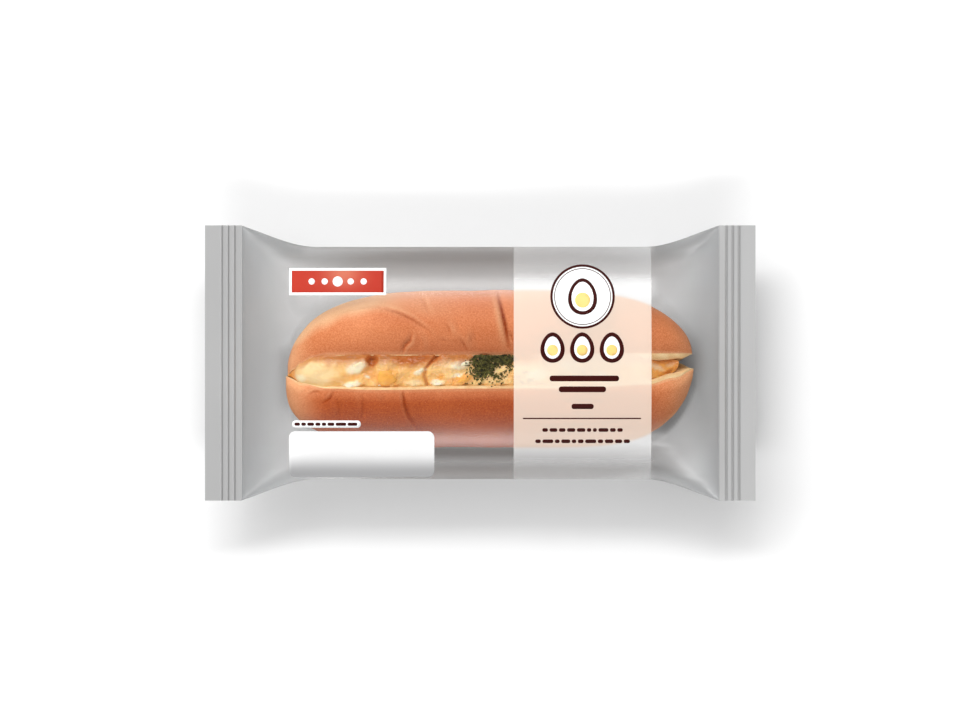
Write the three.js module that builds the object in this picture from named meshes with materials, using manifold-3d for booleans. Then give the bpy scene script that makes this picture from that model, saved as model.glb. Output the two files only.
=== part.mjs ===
// An egg salad roll sealed in a pillow bag. The bag is one solid out to its film, and its print
// is a set of thin curved fields that follow the film.
// Millimetres, +Z up. The pack lies on its back with the printed front up: +X runs along the
// pack, +Y across it, and the origin is on the floor under the pack's middle.
import * as THREE from "three";
import { mergeVertices } from "three/addons/utils/BufferGeometryUtils.js";
import Module from "manifold-3d";

// Driving dimensions of the bag
const packLength = 230; // from the outer edge of one end seal to that of the other
const flatWidth = 115; // of the film tube laid flat, and so of each end seal
const bodyWidth = 97; // across the filled body
const sealWidth = 15; // of an end seal, along the pack
const shoulderLength = 31.5; // over which the body opens out from an end seal
const shoulderSlope = 1.12; // how directly the plan outline leaves the seal's corner
const crownShare = 0.53; // of the body's height that stands above the end seals
const crownPower = 2; // an ellipse over the top
const basePower = 2.4; // a squarer curve below, where the bag settles
const baseFlatness = 1.02; // how far the lower curve is cut off flat
const sealThickness = 0.8;
const sealOverlap = 0.3; // of a seal into the body, so that they fuse

// Crimp ridges across each end seal, counted from its outer edge
const ridgeCount = 3;
const firstRidge = 6.9;
const ridgePitch = 2.65;
const ridgeWidth = 1.7;
const ridgeHeight = 0.55;
const ridgeSteps = 6;

// The seam down the back, folded flat against the bag
const finWidth = 10;
const finThickness = 0.5;
const finBite = 0.3; // into the bag, so that they fuse

// Facets
const columns = 64; // around the body
const shoulderRows = 11;
const shoulderCrowding = 1.7; // how much closer the rows stand beside a seal
const ovalSteps = 40; // around a printed oval
const cornerSteps = 3; // around a printed box's corner

// The print, as fields over the film. Places are x and y in plan.
const skinGap = 0.3; // from the film to a field
const skinThickness = 0.3;
const inlayGap = 0.35; // around a field that is let into another
const inkBrown = 0x54201c;
const inkRed = 0xdf4a36;
const coverWhite = 0xf3eeea;
const paperWhite = 0xfbf9f7;
const yolkCream = 0xf8d68c;
const panel = { left: 13.9, right: 71.1 };
const plate = { left: -79.5, right: -39, top: 39.5, bottom: 28.2, border: 1.1 };
const label = { left: -79.5, right: -19.1, top: -28.4, bottom: -47.6, radius: 2.6 };
const note = { left: -78.2, right: -49.6, y: -25.4, height: 3 };
const emblem = { x: 42.5, y: 27.6, radius: 13.4, ringWidth: 1.1 };
const eggTaper = 0.15; // how much narrower an egg is at its top, and wider at its bottom
const bigEgg = { width: 12, height: 15.2, rim: 1.5, yolk: 3.2, yolkDrop: 1.5 };
const smallEgg = { width: 10, height: 12.6, rim: 1.7, yolk: 2.3, yolkDrop: 1.1 };
const slices = { xs: [30, 42.3, 54.6], y: 6.4 };
const rule = { left: 17.7, right: 66.8, y: -23, height: 0.8 };
const bars = [
  { left: 28.8, right: 57.6, y: -6.4, height: 2.4 },
  { left: 32.6, right: 52.2, y: -10.9, height: 2.4 },
  { left: 37.9, right: 47.1, y: -18, height: 2.2 },
  { left: 25.8, right: 59.2, y: -27.8, height: 1.8 },
  { left: 22.9, right: 62.2, y: -32.5, height: 1.8 },
];

// Worked out from them
const filmGirth = 2 * flatWidth;
const sealLine = packLength / 2 - sealWidth; // where a seal meets the body
const fullHalfHeight = halfHeightAt(bodyWidth / 2);
const sealZ = finThickness + 2 * fullHalfHeight * (1 - crownShare);

const wasm = await Module();
wasm.setup();

// The girth of an ellipse with half axes a and b, by Ramanujan's formula.
function ellipseGirth(a, b) {
  return Math.PI * (3 * (a + b) - Math.sqrt((3 * a + b) * (a + 3 * b)));
}

// The film doesn't stretch, so its girth is the same all along the pack: the narrower the body
// is in plan, the taller it stands.
function halfHeightAt(halfWidth) {
  const halvings = 40;
  let low = 0;
  let high = halfWidth;
  for (let i = 0; i < halvings; i++) {
    const middle = (low + high) / 2;
    if (ellipseGirth(halfWidth, middle) < filmGirth) low = middle;
    else high = middle;
  }
  return low;
}

// Half of the body's width in plan at x. The outline leaves the seal's corner at a slope and
// eases into the straight side.
function halfWidthAt(x) {
  const t = Math.min(Math.max((sealLine - Math.abs(x)) / shoulderLength, 0), 1);
  const leaving = shoulderSlope * (t ** 3 - 2 * t ** 2 + t);
  const easing = 3 * t ** 2 - 2 * t ** 3;
  return flatWidth / 2 - ((flatWidth - bodyWidth) / 2) * (leaving + easing);
}

// The body's half height at x, never thinner than what fuses into the seal.
function riseAt(x) {
  const thinnest = sealThickness / 4;
  return Math.max(halfHeightAt(halfWidthAt(x)), thinnest);
}

// A point of the body's surface at x and at an angle around it, from +Y over the crown.
function bodyPoint(x, angle) {
  const upper = Math.sin(angle) >= 0;
  const power = 2 / (upper ? crownPower : basePower);
  const across = Math.sign(Math.cos(angle)) * Math.abs(Math.cos(angle)) ** power;
  const up = Math.abs(Math.sin(angle)) ** power;
  const height = 2 * riseAt(x) * (upper ? crownShare : 1 - crownShare);
  const z = upper ? height * up : -height * Math.min(baseFlatness * up, 1);
  return new THREE.Vector3(x, halfWidthAt(x) * across, sealZ + z);
}

// The outward normal there.
function bodyNormal(x, angle) {
  const step = 0.01;
  const along = bodyPoint(x + step, angle).sub(bodyPoint(x - step, angle));
  const around = bodyPoint(x, angle + step).sub(bodyPoint(x, angle - step));
  return around.cross(along).normalize();
}

// Places along a shoulder, as distances from the seal, closest together beside it.
function shoulderPlaces() {
  return Array.from({ length: shoulderRows + 1 }, (_, i) => {
    return shoulderLength * (i / shoulderRows) ** shoulderCrowding;
  });
}

// A closed lattice: rings of points, each joined to the next, with the first and last capped.
function latticeGeometry(rings) {
  const around = rings[0].length;
  const points = rings.flat();
  const faces = [];
  const corner = (ring, place) => ring * around + (place % around);
  for (let r = 0; r < rings.length - 1; r++) {
    for (let c = 0; c < around; c++) {
      faces.push(corner(r, c), corner(r, c + 1), corner(r + 1, c + 1));
      faces.push(corner(r, c), corner(r + 1, c + 1), corner(r + 1, c));
    }
  }
  for (const ring of [0, rings.length - 1]) {
    const middle = new THREE.Vector3();
    for (const point of rings[ring]) middle.addScaledVector(point, 1 / around);
    points.push(middle);
    for (let c = 0; c < around; c++) {
      const edge = [corner(ring, c + 1), corner(ring, c)];
      if (ring > 0) edge.reverse();
      faces.push(points.length - 1, ...edge);
    }
  }
  return new THREE.BufferGeometry().setFromPoints(points).setIndex(faces);
}

// A closed surface as a solid for cutting and joining, whichever way round its faces are.
function toSolid(geometry) {
  const bare = geometry.clone();
  bare.deleteAttribute("normal");
  bare.deleteAttribute("uv");
  const merged = mergeVertices(bare, 1e-4);
  const vertProperties = new Float32Array(merged.attributes.position.array);
  const triVerts = new Uint32Array(merged.index.array);
  const solid = new wasm.Manifold(new wasm.Mesh({ numProp: 3, vertProperties, triVerts }));
  if (solid.volume() > 0) return solid;
  triVerts.reverse();
  return new wasm.Manifold(new wasm.Mesh({ numProp: 3, vertProperties, triVerts }));
}

function toMesh(name, solid, color, roughness) {
  const { vertProperties, triVerts } = solid.getMesh();
  const geometry = new THREE.BufferGeometry();
  geometry.setAttribute("position", new THREE.BufferAttribute(vertProperties, 3));
  geometry.setIndex(new THREE.BufferAttribute(triVerts, 1));
  geometry.computeVertexNormals();
  const material = new THREE.MeshStandardMaterial({ color, roughness, metalness: 0 });
  const mesh = new THREE.Mesh(geometry, material);
  mesh.name = name;
  return mesh;
}

// The filled body, from seal to seal.
function bodySolid() {
  const left = shoulderPlaces().map((s) => s - sealLine);
  const right = shoulderPlaces().map((s) => sealLine - s);
  const places = [...left, ...right.reverse()];
  const angles = Array.from({ length: columns }, (_, i) => (2 * Math.PI * i) / columns);
  return toSolid(latticeGeometry(places.map((x) => angles.map((a) => bodyPoint(x, a)))));
}

// How far the crimp lifts the seal at a distance from its outer edge.
function ridgeLift(distance) {
  for (let i = 0; i < ridgeCount; i++) {
    const off = Math.abs(distance - firstRidge - i * ridgePitch);
    if (off < ridgeWidth / 2) {
      return (ridgeHeight * (1 + Math.cos((2 * Math.PI * off) / ridgeWidth))) / 2;
    }
  }
  return 0;
}

// Distances from a seal's outer edge at which its corrugated section turns.
function sealPlaces() {
  const places = [0];
  for (let i = 0; i < ridgeCount; i++) {
    const middle = firstRidge + i * ridgePitch;
    for (let k = 0; k <= ridgeSteps; k++) {
      places.push(middle + ridgeWidth * (k / ridgeSteps - 0.5));
    }
  }
  return [...places, sealWidth + sealOverlap];
}

// A plate whose section lies in the XZ plane, extruded across the pack.
function crossPlate(topLine, bottomLine, width) {
  const outline = new THREE.Shape([...topLine, ...bottomLine.reverse()]);
  const geometry = new THREE.ExtrudeGeometry(outline, { depth: width, bevelEnabled: false });
  return toSolid(geometry.rotateX(Math.PI / 2).translate(0, width / 2, 0));
}

// One end seal, at side -1 or +1.
function sealSolid(side) {
  const line = (offset) =>
    sealPlaces().map((d) => {
      return new THREE.Vector2(side * (packLength / 2 - d), sealZ + offset + ridgeLift(d));
    });
  return crossPlate(line(sealThickness / 2), line(-sealThickness / 2), flatWidth);
}

// The underside along the middle of the back, from one outer edge to the other, as [x, z].
function backLine() {
  const half = (side) => [
    ...sealPlaces()
      .filter((d) => d < sealWidth)
      .map((d) => [side * (packLength / 2 - d), sealZ - sealThickness / 2 + ridgeLift(d)]),
    ...shoulderPlaces().map((s) => {
      const x = side * (sealLine - s);
      return [x, bodyPoint(x, -Math.PI / 2).z];
    }),
  ];
  return [...half(-1), ...half(1).reverse()];
}

// The seam that runs down the middle of the back and through both end seals.
function finSolid() {
  const line = (offset) => backLine().map(([x, z]) => new THREE.Vector2(x, z + offset));
  return crossPlate(line(finBite), line(-finThickness), finWidth);
}

// A thin sheet over the front of the body between two places along it, a little way off it.
function frontSheet(left, right) {
  const bends = shoulderPlaces().flatMap((s) => [s - sealLine, sealLine - s]);
  const places = [left, ...bends.filter((x) => x > left && x < right), right];
  places.sort((a, b) => a - b);
  const hem = 0.02; // how far above the side edge the sheet stops, as an angle
  const angles = Array.from({ length: columns / 2 + 1 }, (_, i) => {
    return THREE.MathUtils.clamp((2 * Math.PI * i) / columns, hem, Math.PI - hem);
  });
  const lifted = (x, angle, height) =>
    bodyPoint(x, angle).addScaledVector(bodyNormal(x, angle), height);
  const ring = (x) => [
    ...angles.map((a) => lifted(x, a, skinGap + skinThickness)),
    ...angles.map((a) => lifted(x, a, skinGap)).reverse(),
  ];
  return toSolid(latticeGeometry(places.map(ring)));
}

// An upright block of a plan outline, tall enough to cut through the front sheet.
function outlineBlock(outline) {
  const options = { depth: packLength, bevelEnabled: false, curveSegments: cornerSteps };
  return toSolid(new THREE.ExtrudeGeometry(outline, options).translate(0, 0, sealZ / 2));
}

// A box in plan with round corners, grown by a margin.
function boxOutline({ left, right, top, bottom, radius = 0.3 }, margin = 0) {
  const [x0, x1, y0, y1] = [left - margin, right + margin, bottom - margin, top + margin];
  const r = radius + margin;
  const shape = new THREE.Shape();
  shape.moveTo(x0 + r, y0);
  shape.absarc(x1 - r, y0 + r, r, -Math.PI / 2, 0, false);
  shape.absarc(x1 - r, y1 - r, r, 0, Math.PI / 2, false);
  shape.absarc(x0 + r, y1 - r, r, Math.PI / 2, Math.PI, false);
  shape.absarc(x0 + r, y0 + r, r, Math.PI, 1.5 * Math.PI, false);
  return shape;
}

// A bar with round ends, given by its two ends, its middle line and its height.
function barOutline({ left, right, y, height }, margin = 0) {
  const box = { left, right, top: y + height / 2, bottom: y - height / 2 };
  return boxOutline({ ...box, radius: height * 0.45 }, margin);
}

function ovalOutline(x, y, halfWidth, halfHeight) {
  const ellipse = new THREE.EllipseCurve(x, y, halfWidth, halfHeight, 0, 2 * Math.PI);
  return new THREE.Shape(ellipse.getPoints(ovalSteps).slice(1));
}

// An egg with its top up. It may be grown by a margin.
function eggOutline(x, y, { width, height }, margin = 0) {
  const halfWidth = width / 2 + margin;
  const halfHeight = height / 2 + margin;
  const ellipse = new THREE.EllipseCurve(0, 0, halfWidth, halfHeight, 0, 2 * Math.PI);
  const points = ellipse.getPoints(ovalSteps).slice(1);
  const tapered = points.map((point) => {
    const rise = point.y / halfHeight;
    return new THREE.Vector2(x + point.x * (1 - eggTaper * rise), y + point.y);
  });
  return new THREE.Shape(tapered);
}

// The part of the front sheet inside an outline, less the outlines cut out of it.
function field(name, color, outline, holes = []) {
  const margin = 1;
  const box = new THREE.Box2().setFromPoints(outline.getPoints(cornerSteps));
  let solid = frontSheet(box.min.x - margin, box.max.x + margin);
  solid = solid.intersect(outlineBlock(outline));
  for (const hole of holes) solid = solid.subtract(outlineBlock(hole));
  return toMesh(name, solid, color, 0.4);
}

function bag() {
  const solid = bodySolid().add(sealSolid(-1)).add(sealSolid(1)).add(finSolid());
  return toMesh("bag", solid, 0xbdbdbd, 0.3);
}

// The white band across the front, cut out round what is printed on it.
function panelField() {
  const { x, y, radius } = emblem;
  const reach = flatWidth / 2;
  const band = boxOutline({ ...panel, top: reach, bottom: -reach });
  return field("print_panel", coverWhite, band, [
    ovalOutline(x, y, radius + inlayGap, radius + inlayGap),
    ...slices.xs.map((sliceX) => eggOutline(sliceX, slices.y, smallEgg, inlayGap)),
    ...[...bars, rule].map((bar) => barOutline(bar, inlayGap)),
  ]);
}

// Half a boiled egg: a dark rim, the white inside it, and the yolk low in the white.
function eggFields(rimName, whiteName, yolkName, x, y, egg) {
  const { rim, yolk, yolkDrop } = egg;
  const around = (margin) => ovalOutline(x, y - yolkDrop, yolk + margin, yolk + margin);
  return [
    field(rimName, inkBrown, eggOutline(x, y, egg), [eggOutline(x, y, egg, -rim)]),
    field(whiteName, paperWhite, eggOutline(x, y, egg, -rim - inlayGap), [around(inlayGap)]),
    field(yolkName, yolkCream, around(0)),
  ];
}

// The round emblem: a dark ring, a white disc in it, and half a boiled egg in the disc.
function emblemFields() {
  const { x, y, radius, ringWidth } = emblem;
  const inner = radius - ringWidth;
  const disc = inner - inlayGap;
  const round = (size) => ovalOutline(x, y, size, size);
  return [
    field("emblem_ring", inkBrown, round(radius), [round(inner)]),
    field("emblem_disc", paperWhite, round(disc), [eggOutline(x, y, bigEgg, inlayGap)]),
    ...eggFields("emblem_egg", "emblem_white", "emblem_yolk", x, y, bigEgg),
  ];
}

// A row of smaller egg halves.
function sliceFields() {
  return slices.xs.flatMap((x, i) => {
    const number = i + 1;
    const names = [`slice_rim_${number}`, `slice_white_${number}`, `slice_yolk_${number}`];
    return eggFields(...names, x, slices.y, smallEgg);
  });
}

// The plain bars in rows, and the rule between them.
function barFields() {
  return [
    ...bars.map((bar, i) => field(`bar_${i + 1}`, inkBrown, barOutline(bar))),
    field("rule", inkBrown, barOutline(rule)),
  ];
}

// The red plate with its white border, the blank white label, and the small strip above it.
function cornerFields() {
  const inside = {
    left: plate.left + plate.border,
    right: plate.right - plate.border,
    top: plate.top - plate.border,
    bottom: plate.bottom + plate.border,
  };
  return [
    field("plate_border", paperWhite, boxOutline(plate), [boxOutline(inside, inlayGap)]),
    field("plate_field", inkRed, boxOutline(inside)),
    field("blank_label", paperWhite, boxOutline(label)),
    field("note_strip", paperWhite, barOutline(note)),
  ];
}

const pack = new THREE.Group();
pack.add(bag(), panelField(), ...emblemFields());
pack.add(...sliceFields(), ...barFields(), ...cornerFields());
export default pack;
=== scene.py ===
import math
import random
from functools import lru_cache

import bmesh
import bpy
from mathutils import Matrix, Vector, noise
from mathutils.bvhtree import BVHTree


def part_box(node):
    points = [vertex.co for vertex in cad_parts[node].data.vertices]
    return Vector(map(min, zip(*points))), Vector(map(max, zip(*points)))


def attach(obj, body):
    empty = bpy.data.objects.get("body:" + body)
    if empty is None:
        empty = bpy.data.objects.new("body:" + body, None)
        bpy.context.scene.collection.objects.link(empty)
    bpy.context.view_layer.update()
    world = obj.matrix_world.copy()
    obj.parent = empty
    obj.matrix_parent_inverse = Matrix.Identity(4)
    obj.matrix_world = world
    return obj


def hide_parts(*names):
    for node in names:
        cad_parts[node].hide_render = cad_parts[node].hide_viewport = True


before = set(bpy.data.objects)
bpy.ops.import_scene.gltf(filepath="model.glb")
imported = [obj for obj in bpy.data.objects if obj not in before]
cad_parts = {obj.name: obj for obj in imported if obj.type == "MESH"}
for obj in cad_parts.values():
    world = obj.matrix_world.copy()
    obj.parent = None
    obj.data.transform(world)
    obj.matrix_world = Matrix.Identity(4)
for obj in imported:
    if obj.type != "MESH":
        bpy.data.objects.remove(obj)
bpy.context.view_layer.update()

# An egg salad roll in a clear pillow bag, lying on its back with the print up.
# Shapes are worked out in millimetres and scaled to metres when a piece is placed.
mm = 0.001
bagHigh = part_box("bag")[1] / mm

bag = dict(
    halfLength=bagHigh.x,
    flatHalf=bagHigh.y,          # half of the film tube's width laid flat, as at the end seals
    bodyHalf=48.5,               # half of the filled body's width
    sealWidth=15.0,
    shoulder=31.5,               # length over which the body opens out from a seal
    slope=1.12,                  # how steeply it opens at first
    crownShare=0.53,             # of the height that stands above the seals
    basePower=2.4,               # over 2, the lower side is fuller than an ellipse
    baseFlatness=1.02,           # over 1, it is cut off flat
    finDepth=0.5,                # of the folded seam under the back
    filmDepth=0.06,
    gather=0.3,                  # height of the soft puckers beside the seals
    gatherReach=9.0,
)
sealLine = bag["halfLength"] - bag["sealWidth"]
sealZ = bag["finDepth"] + (bagHigh.z - bag["finDepth"]) * (1 - bag["crownShare"])


def clamp(value, low=0.0, high=1.0):
    return min(max(value, low), high)


def mix(a, b, share):
    return a + (b - a) * share


def smoothStep(low, high, value):
    t = clamp((value - low) / (high - low))
    return t * t * (3 - 2 * t)


def ellipseGirth(a, b):
    return math.pi * (3 * (a + b) - math.sqrt((3 * a + b) * (a + 3 * b)))


# The film doesn't stretch: its girth is the same all along, so a narrower body is a taller one.
@lru_cache(maxsize=None)
def halfHeightFor(halfWidth):
    low, high = 0.0, halfWidth
    for _ in range(32):          # halvings
        middle = (low + high) / 2
        if ellipseGirth(halfWidth, middle) < 4 * bag["flatHalf"]:
            low = middle
        else:
            high = middle
    return max(low, 0.2)


def halfWidthAt(x):
    t = clamp((sealLine - abs(x)) / bag["shoulder"])
    leaving = bag["slope"] * (t ** 3 - 2 * t ** 2 + t)
    easing = 3 * t ** 2 - 2 * t ** 3
    return bag["flatHalf"] - (bag["flatHalf"] - bag["bodyHalf"]) * (leaving + easing)


def plainFilm(x, angle):
    halfWidth = halfWidthAt(x)
    height = 2 * halfHeightFor(round(halfWidth, 4))
    across, up = math.cos(angle), math.sin(angle)
    if up >= 0:
        return Vector((x, halfWidth * across, sealZ + height * bag["crownShare"] * up))
    power = 2 / bag["basePower"]
    across = math.copysign(abs(across) ** power, across)
    drop = min(bag["baseFlatness"] * abs(up) ** power, 1)
    return Vector((x, halfWidth * across, sealZ - height * (1 - bag["crownShare"]) * drop))


# Soft puckers that run out of the end seals and die away along the shoulder.
def gatherAt(x, y, angle):
    s = max(sealLine - abs(x), 0)
    reach = bag["gatherReach"]
    swell = (s / reach) * math.exp(1 - s / reach)
    ridge = noise.noise(Vector((y * 0.16, s * 0.012, 3.7 if x > 0 else 9.1)))
    ridge += 0.5 * noise.noise(Vector((y * 0.37, s * 0.02, 5.3 if x > 0 else 1.2)))
    return bag["gather"] * swell * ridge * abs(math.sin(angle)) ** 0.5


def filmPoint(x, angle, inset=0.0):
    step = 0.01                  # to each side, for the film's slope
    point = plainFilm(x, angle)
    along = plainFilm(x + step, angle) - plainFilm(x - step, angle)
    around = plainFilm(x, angle + step) - plainFilm(x, angle - step)
    outward = around.cross(along).normalized()
    return point + outward * (gatherAt(x, point.y, angle) - inset)


# The place on the back film under a point of the plan.
def filmUnder(x, y):
    share = clamp(abs(y) / halfWidthAt(x)) ** (bag["basePower"] / 2)
    return filmPoint(x, 2 * math.pi - math.acos(math.copysign(share, y)))


# The place on the front film over a point of the plan.
def filmOver(x, y, inset=0.0):
    return filmPoint(x, math.acos(clamp(y / halfWidthAt(x), -1, 1)), inset)


print("film shape ready")


# Helpers that turn a bmesh into a finished piece
def gridMesh(across, around, pointAt):
    bm = bmesh.new()
    bmesh.ops.create_grid(bm, x_segments=across, y_segments=around, size=0.5)
    for v in bm.verts:
        v.co = pointAt(v.co.x + 0.5, v.co.y + 0.5)
    return bm


def copyInto(target, bm):
    spare = bpy.data.meshes.new("spare")
    bm.to_mesh(spare)
    target.from_mesh(spare)
    bpy.data.meshes.remove(spare)


def joinInto(target, bm):
    copyInto(target, bm)
    bm.free()


def turnUp(bm, up=True):
    if (sum(f.normal.z for f in bm.faces) > 0) != up:
        bmesh.ops.reverse_faces(bm, faces=bm.faces)


def addLayers(bm, *names):
    return [bm.verts.layers.float.new(name) for name in names]


# A sheet gets a wall of the given thickness behind its faces, or in front of them where wallSide is 1.
def addPiece(name, bm, materials, slot, stands=("bag",), thickness=0.0, wallSide=-1, smooth=True):
    bmesh.ops.scale(bm, vec=(mm, mm, mm), verts=bm.verts)
    for f in bm.faces:
        f.smooth = smooth
    mesh = bpy.data.meshes.new(name)
    bm.to_mesh(mesh)
    bm.free()
    for material in materials:
        mesh.materials.append(material)
    piece = bpy.data.objects.new(name, mesh)
    bpy.context.scene.collection.objects.link(piece)
    if thickness:
        wall = piece.modifiers.new("wall", "SOLIDIFY")
        wall.thickness = thickness * mm
        wall.offset = wallSide
    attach(piece, "root")
    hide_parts(*stands)
    return piece


# Node groups and materials
def srgb(r, g, b):
    def linear(c):
        c /= 255
        return c / 12.92 if c <= 0.04045 else ((c + 0.055) / 1.055) ** 2.4
    return (linear(r), linear(g), linear(b), 1.0)


# Each input is given as a number, a colour or another node's socket.
def setInputs(tree, node, values):
    for key, value in values.items():
        if isinstance(value, bpy.types.NodeSocket):
            tree.links.new(value, node.inputs[key])
        else:
            node.inputs[key].default_value = value


def addNode(tree, kind, inputs=None, **settings):
    node = tree.nodes.new("ShaderNode" + kind)
    for setting, value in settings.items():
        setattr(node, setting, value)
    setInputs(tree, node, inputs or {})
    return node


def calculate(tree, operation, *values, clamped=False):
    return addNode(tree, "Math", dict(enumerate(values)), operation=operation, use_clamp=clamped).outputs[0]


def mixColours(tree, factor, a, b):
    return addNode(tree, "Mix", {"Factor": factor, "A": a, "B": b}, data_type="RGBA").outputs["Result"]


def mixShaders(tree, factor, a, b):
    return addNode(tree, "MixShader", {0: factor, 1: a, 2: b}).outputs[0]


def attribute(tree, name):
    return addNode(tree, "Attribute", attribute_name=name).outputs["Fac"]


def makeGroup(name, inputs, outputs):
    group = bpy.data.node_groups.new(name, "ShaderNodeTree")
    for label, kind, value in inputs:
        socket = group.interface.new_socket(label, in_out="INPUT", socket_type="NodeSocket" + kind)
        if value is not None:
            socket.default_value = value
    for label, kind in outputs:
        group.interface.new_socket(label, in_out="OUTPUT", socket_type="NodeSocket" + kind)
    return group, group.nodes.new("NodeGroupInput").outputs, group.nodes.new("NodeGroupOutput")


# A two-tone mottle, with a little fine speckle on top.
def mottleGroup():
    group, source, result = makeGroup(
        "mottle",
        [
            ("Vector", "Vector", None),
            ("Scale", "Float", 60.0),
            ("Contrast", "Float", 1.0),
            ("Speckle", "Float", 0.1),
            ("Low", "Color", (0.2, 0.2, 0.2, 1)),
            ("High", "Color", (0.8, 0.8, 0.8, 1)),
        ],
        [("Color", "Color"), ("Mask", "Float")],
    )
    fineness = 36                # how many times smaller the speckle is
    fineScale = calculate(group, "MULTIPLY", source["Scale"], fineness)
    broad = addNode(group, "TexNoise", {"Vector": source["Vector"], "Scale": source["Scale"], "Detail": 4})
    fine = addNode(group, "TexNoise", {"Vector": source["Vector"], "Scale": fineScale, "Detail": 2})
    # (broad - 0.5) * contrast + (fine - 0.5) * speckle + 0.5
    spread = calculate(group, "SUBTRACT", broad.outputs["Fac"], 0.5)
    spread = calculate(group, "MULTIPLY_ADD", spread, source["Contrast"], 0.5)
    fleck = calculate(group, "SUBTRACT", fine.outputs["Fac"], 0.5)
    total = calculate(group, "MULTIPLY_ADD", fleck, source["Speckle"], spread, clamped=True)
    colour = mixColours(group, total, source["Low"], source["High"])
    setInputs(group, result, {"Color": colour, "Mask": total})
    return group


# Relief of two sizes for a bump.
def grainGroup():
    group, source, result = makeGroup(
        "grain",
        [
            ("Vector", "Vector", None),
            ("Coarse", "Float", 200.0),
            ("Fine", "Float", 1500.0),
            ("Fine Share", "Float", 0.4),
        ],
        [("Height", "Float")],
    )
    coarse = addNode(group, "TexNoise", {"Vector": source["Vector"], "Scale": source["Coarse"], "Detail": 3})
    fine = addNode(group, "TexNoise", {"Vector": source["Vector"], "Scale": source["Fine"], "Detail": 2})
    total = calculate(group, "MULTIPLY_ADD", fine.outputs["Fac"], source["Fine Share"], coarse.outputs["Fac"])
    setInputs(group, result, {"Height": total})
    return group


mottle = mottleGroup()
grain = grainGroup()


def startMaterial(name):
    material = bpy.data.materials.new(name)
    material.use_nodes = True
    tree = material.node_tree
    place = addNode(tree, "TexCoord").outputs["Object"]
    return material, tree, tree.nodes["Principled BSDF"], place


def setSurface(tree, shader):
    setInputs(tree, tree.nodes["Material Output"], {"Surface": shader})


def useMottle(tree, place, low, high, scale, contrast, speckle):
    tones = {"Low": low, "High": high}
    spread = {"Scale": scale, "Contrast": contrast, "Speckle": speckle}
    values = {"Vector": place, **tones, **spread}
    return addNode(tree, "Group", values, node_tree=mottle).outputs


# Scales are counts in a metre, and the depth is in millimetres.
def useGrain(tree, place, shader, coarse, fine, strength, depth, share=0.4):
    values = {"Vector": place, "Coarse": coarse, "Fine": fine, "Fine Share": share}
    height = addNode(tree, "Group", values, node_tree=grain).outputs["Height"]
    bump = addNode(tree, "Bump", {"Strength": strength, "Distance": depth * mm, "Height": height})
    setInputs(tree, shader, {"Normal": bump.outputs["Normal"]})


crustLook = dict(
    # Each tone as its darker and its lighter flecks.
    tan=(srgb(221, 129, 78), srgb(243, 161, 111)),
    pale=(srgb(246, 187, 136), srgb(255, 207, 161)),
    baked=(srgb(144, 48, 3), srgb(176, 76, 10)),
    cast=(0.34, 0.28, 0.24, 1),  # what the film behind the roll picks up of it
    flecks=dict(scale=45.0, contrast=1.2, speckle=2.0),
    grain=dict(coarse=420, fine=1900, strength=0.5, depth=0.22, share=0.45),
    roughness=0.6, specular=0.16,
)


def crustMaterial():
    material, tree, shader, place = startMaterial("crust")
    look = crustLook
    flecks = useMottle(tree, place, *look["tan"], **look["flecks"])["Mask"]
    palenessAndLight, bakeAndShade = attribute(tree, "palenessAndLight"), attribute(tree, "bakeAndShade")
    tones = []
    for tan, pale, baked in zip(look["tan"], look["pale"], look["baked"]):
        tones.append(mixColours(tree, bakeAndShade, mixColours(tree, palenessAndLight, tan, pale), baked))
    colour = mixColours(tree, flecks, *tones)
    # The grey film picks up no more than a hint of the crust's colour.
    ray = addNode(tree, "LightPath").outputs["Is Diffuse Ray"]
    colour = mixColours(tree, ray, colour, look["cast"])
    setInputs(tree, shader, {
        "Base Color": colour, "Roughness": look["roughness"], "Specular IOR Level": look["specular"]})
    useGrain(tree, place, shader, **look["grain"])
    return material


# A plain material: a mottle of two tones over fine relief.
def simpleMaterial(name, look):
    material, tree, shader, place = startMaterial(name)
    colour = useMottle(tree, place, *look["tones"], **look["mottle"])["Color"]
    for zone, tint in look.get("zones", {}).items():
        colour = mixColours(tree, attribute(tree, zone), colour, tint)
    setInputs(tree, shader, {"Base Color": colour, "Roughness": look["roughness"]})
    if "specular" in look:
        setInputs(tree, shader, {"Specular IOR Level": look["specular"]})
    if "grain" in look:
        useGrain(tree, place, shader, **look["grain"])
    return material, tree, shader


crumbLook = dict(
    tones=(srgb(226, 178, 122), srgb(250, 222, 172)),
    mottle=dict(scale=260.0, contrast=1.8, speckle=0.6),
    grain=dict(coarse=500, fine=1400, strength=0.7, depth=0.5),
    roughness=0.85, specular=0.2,
)
parsleyLook = dict(
    tones=(srgb(36, 34, 14), srgb(112, 108, 46)),
    mottle=dict(scale=700, contrast=2.6, speckle=0.4),
    grain=dict(coarse=1500, fine=4000, strength=0.5, depth=0.1),
    roughness=0.7,
)
moistLook = dict(scatter=0.25, radius=(1.0, 0.6, 0.25), reach=2.0, contrast=2.2, speckle=0.35)
# The dressing's shade zone is painted shade.
dressingLook = dict(
    tones=(srgb(241, 184, 106), srgb(252, 216, 152)), scale=150, roughness=0.3, relief=0.25,
    zones=dict(warmth=srgb(246, 164, 68), white=srgb(255, 241, 206), shade=srgb(190, 106, 48)),
)
whiteLook = dict(tones=(srgb(250, 230, 188), srgb(255, 246, 220)), scale=90, roughness=0.28, relief=0.1)
yolkLook = dict(tones=(srgb(242, 166, 68), srgb(248, 188, 96)), scale=200, roughness=0.45, relief=0.2)


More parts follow.
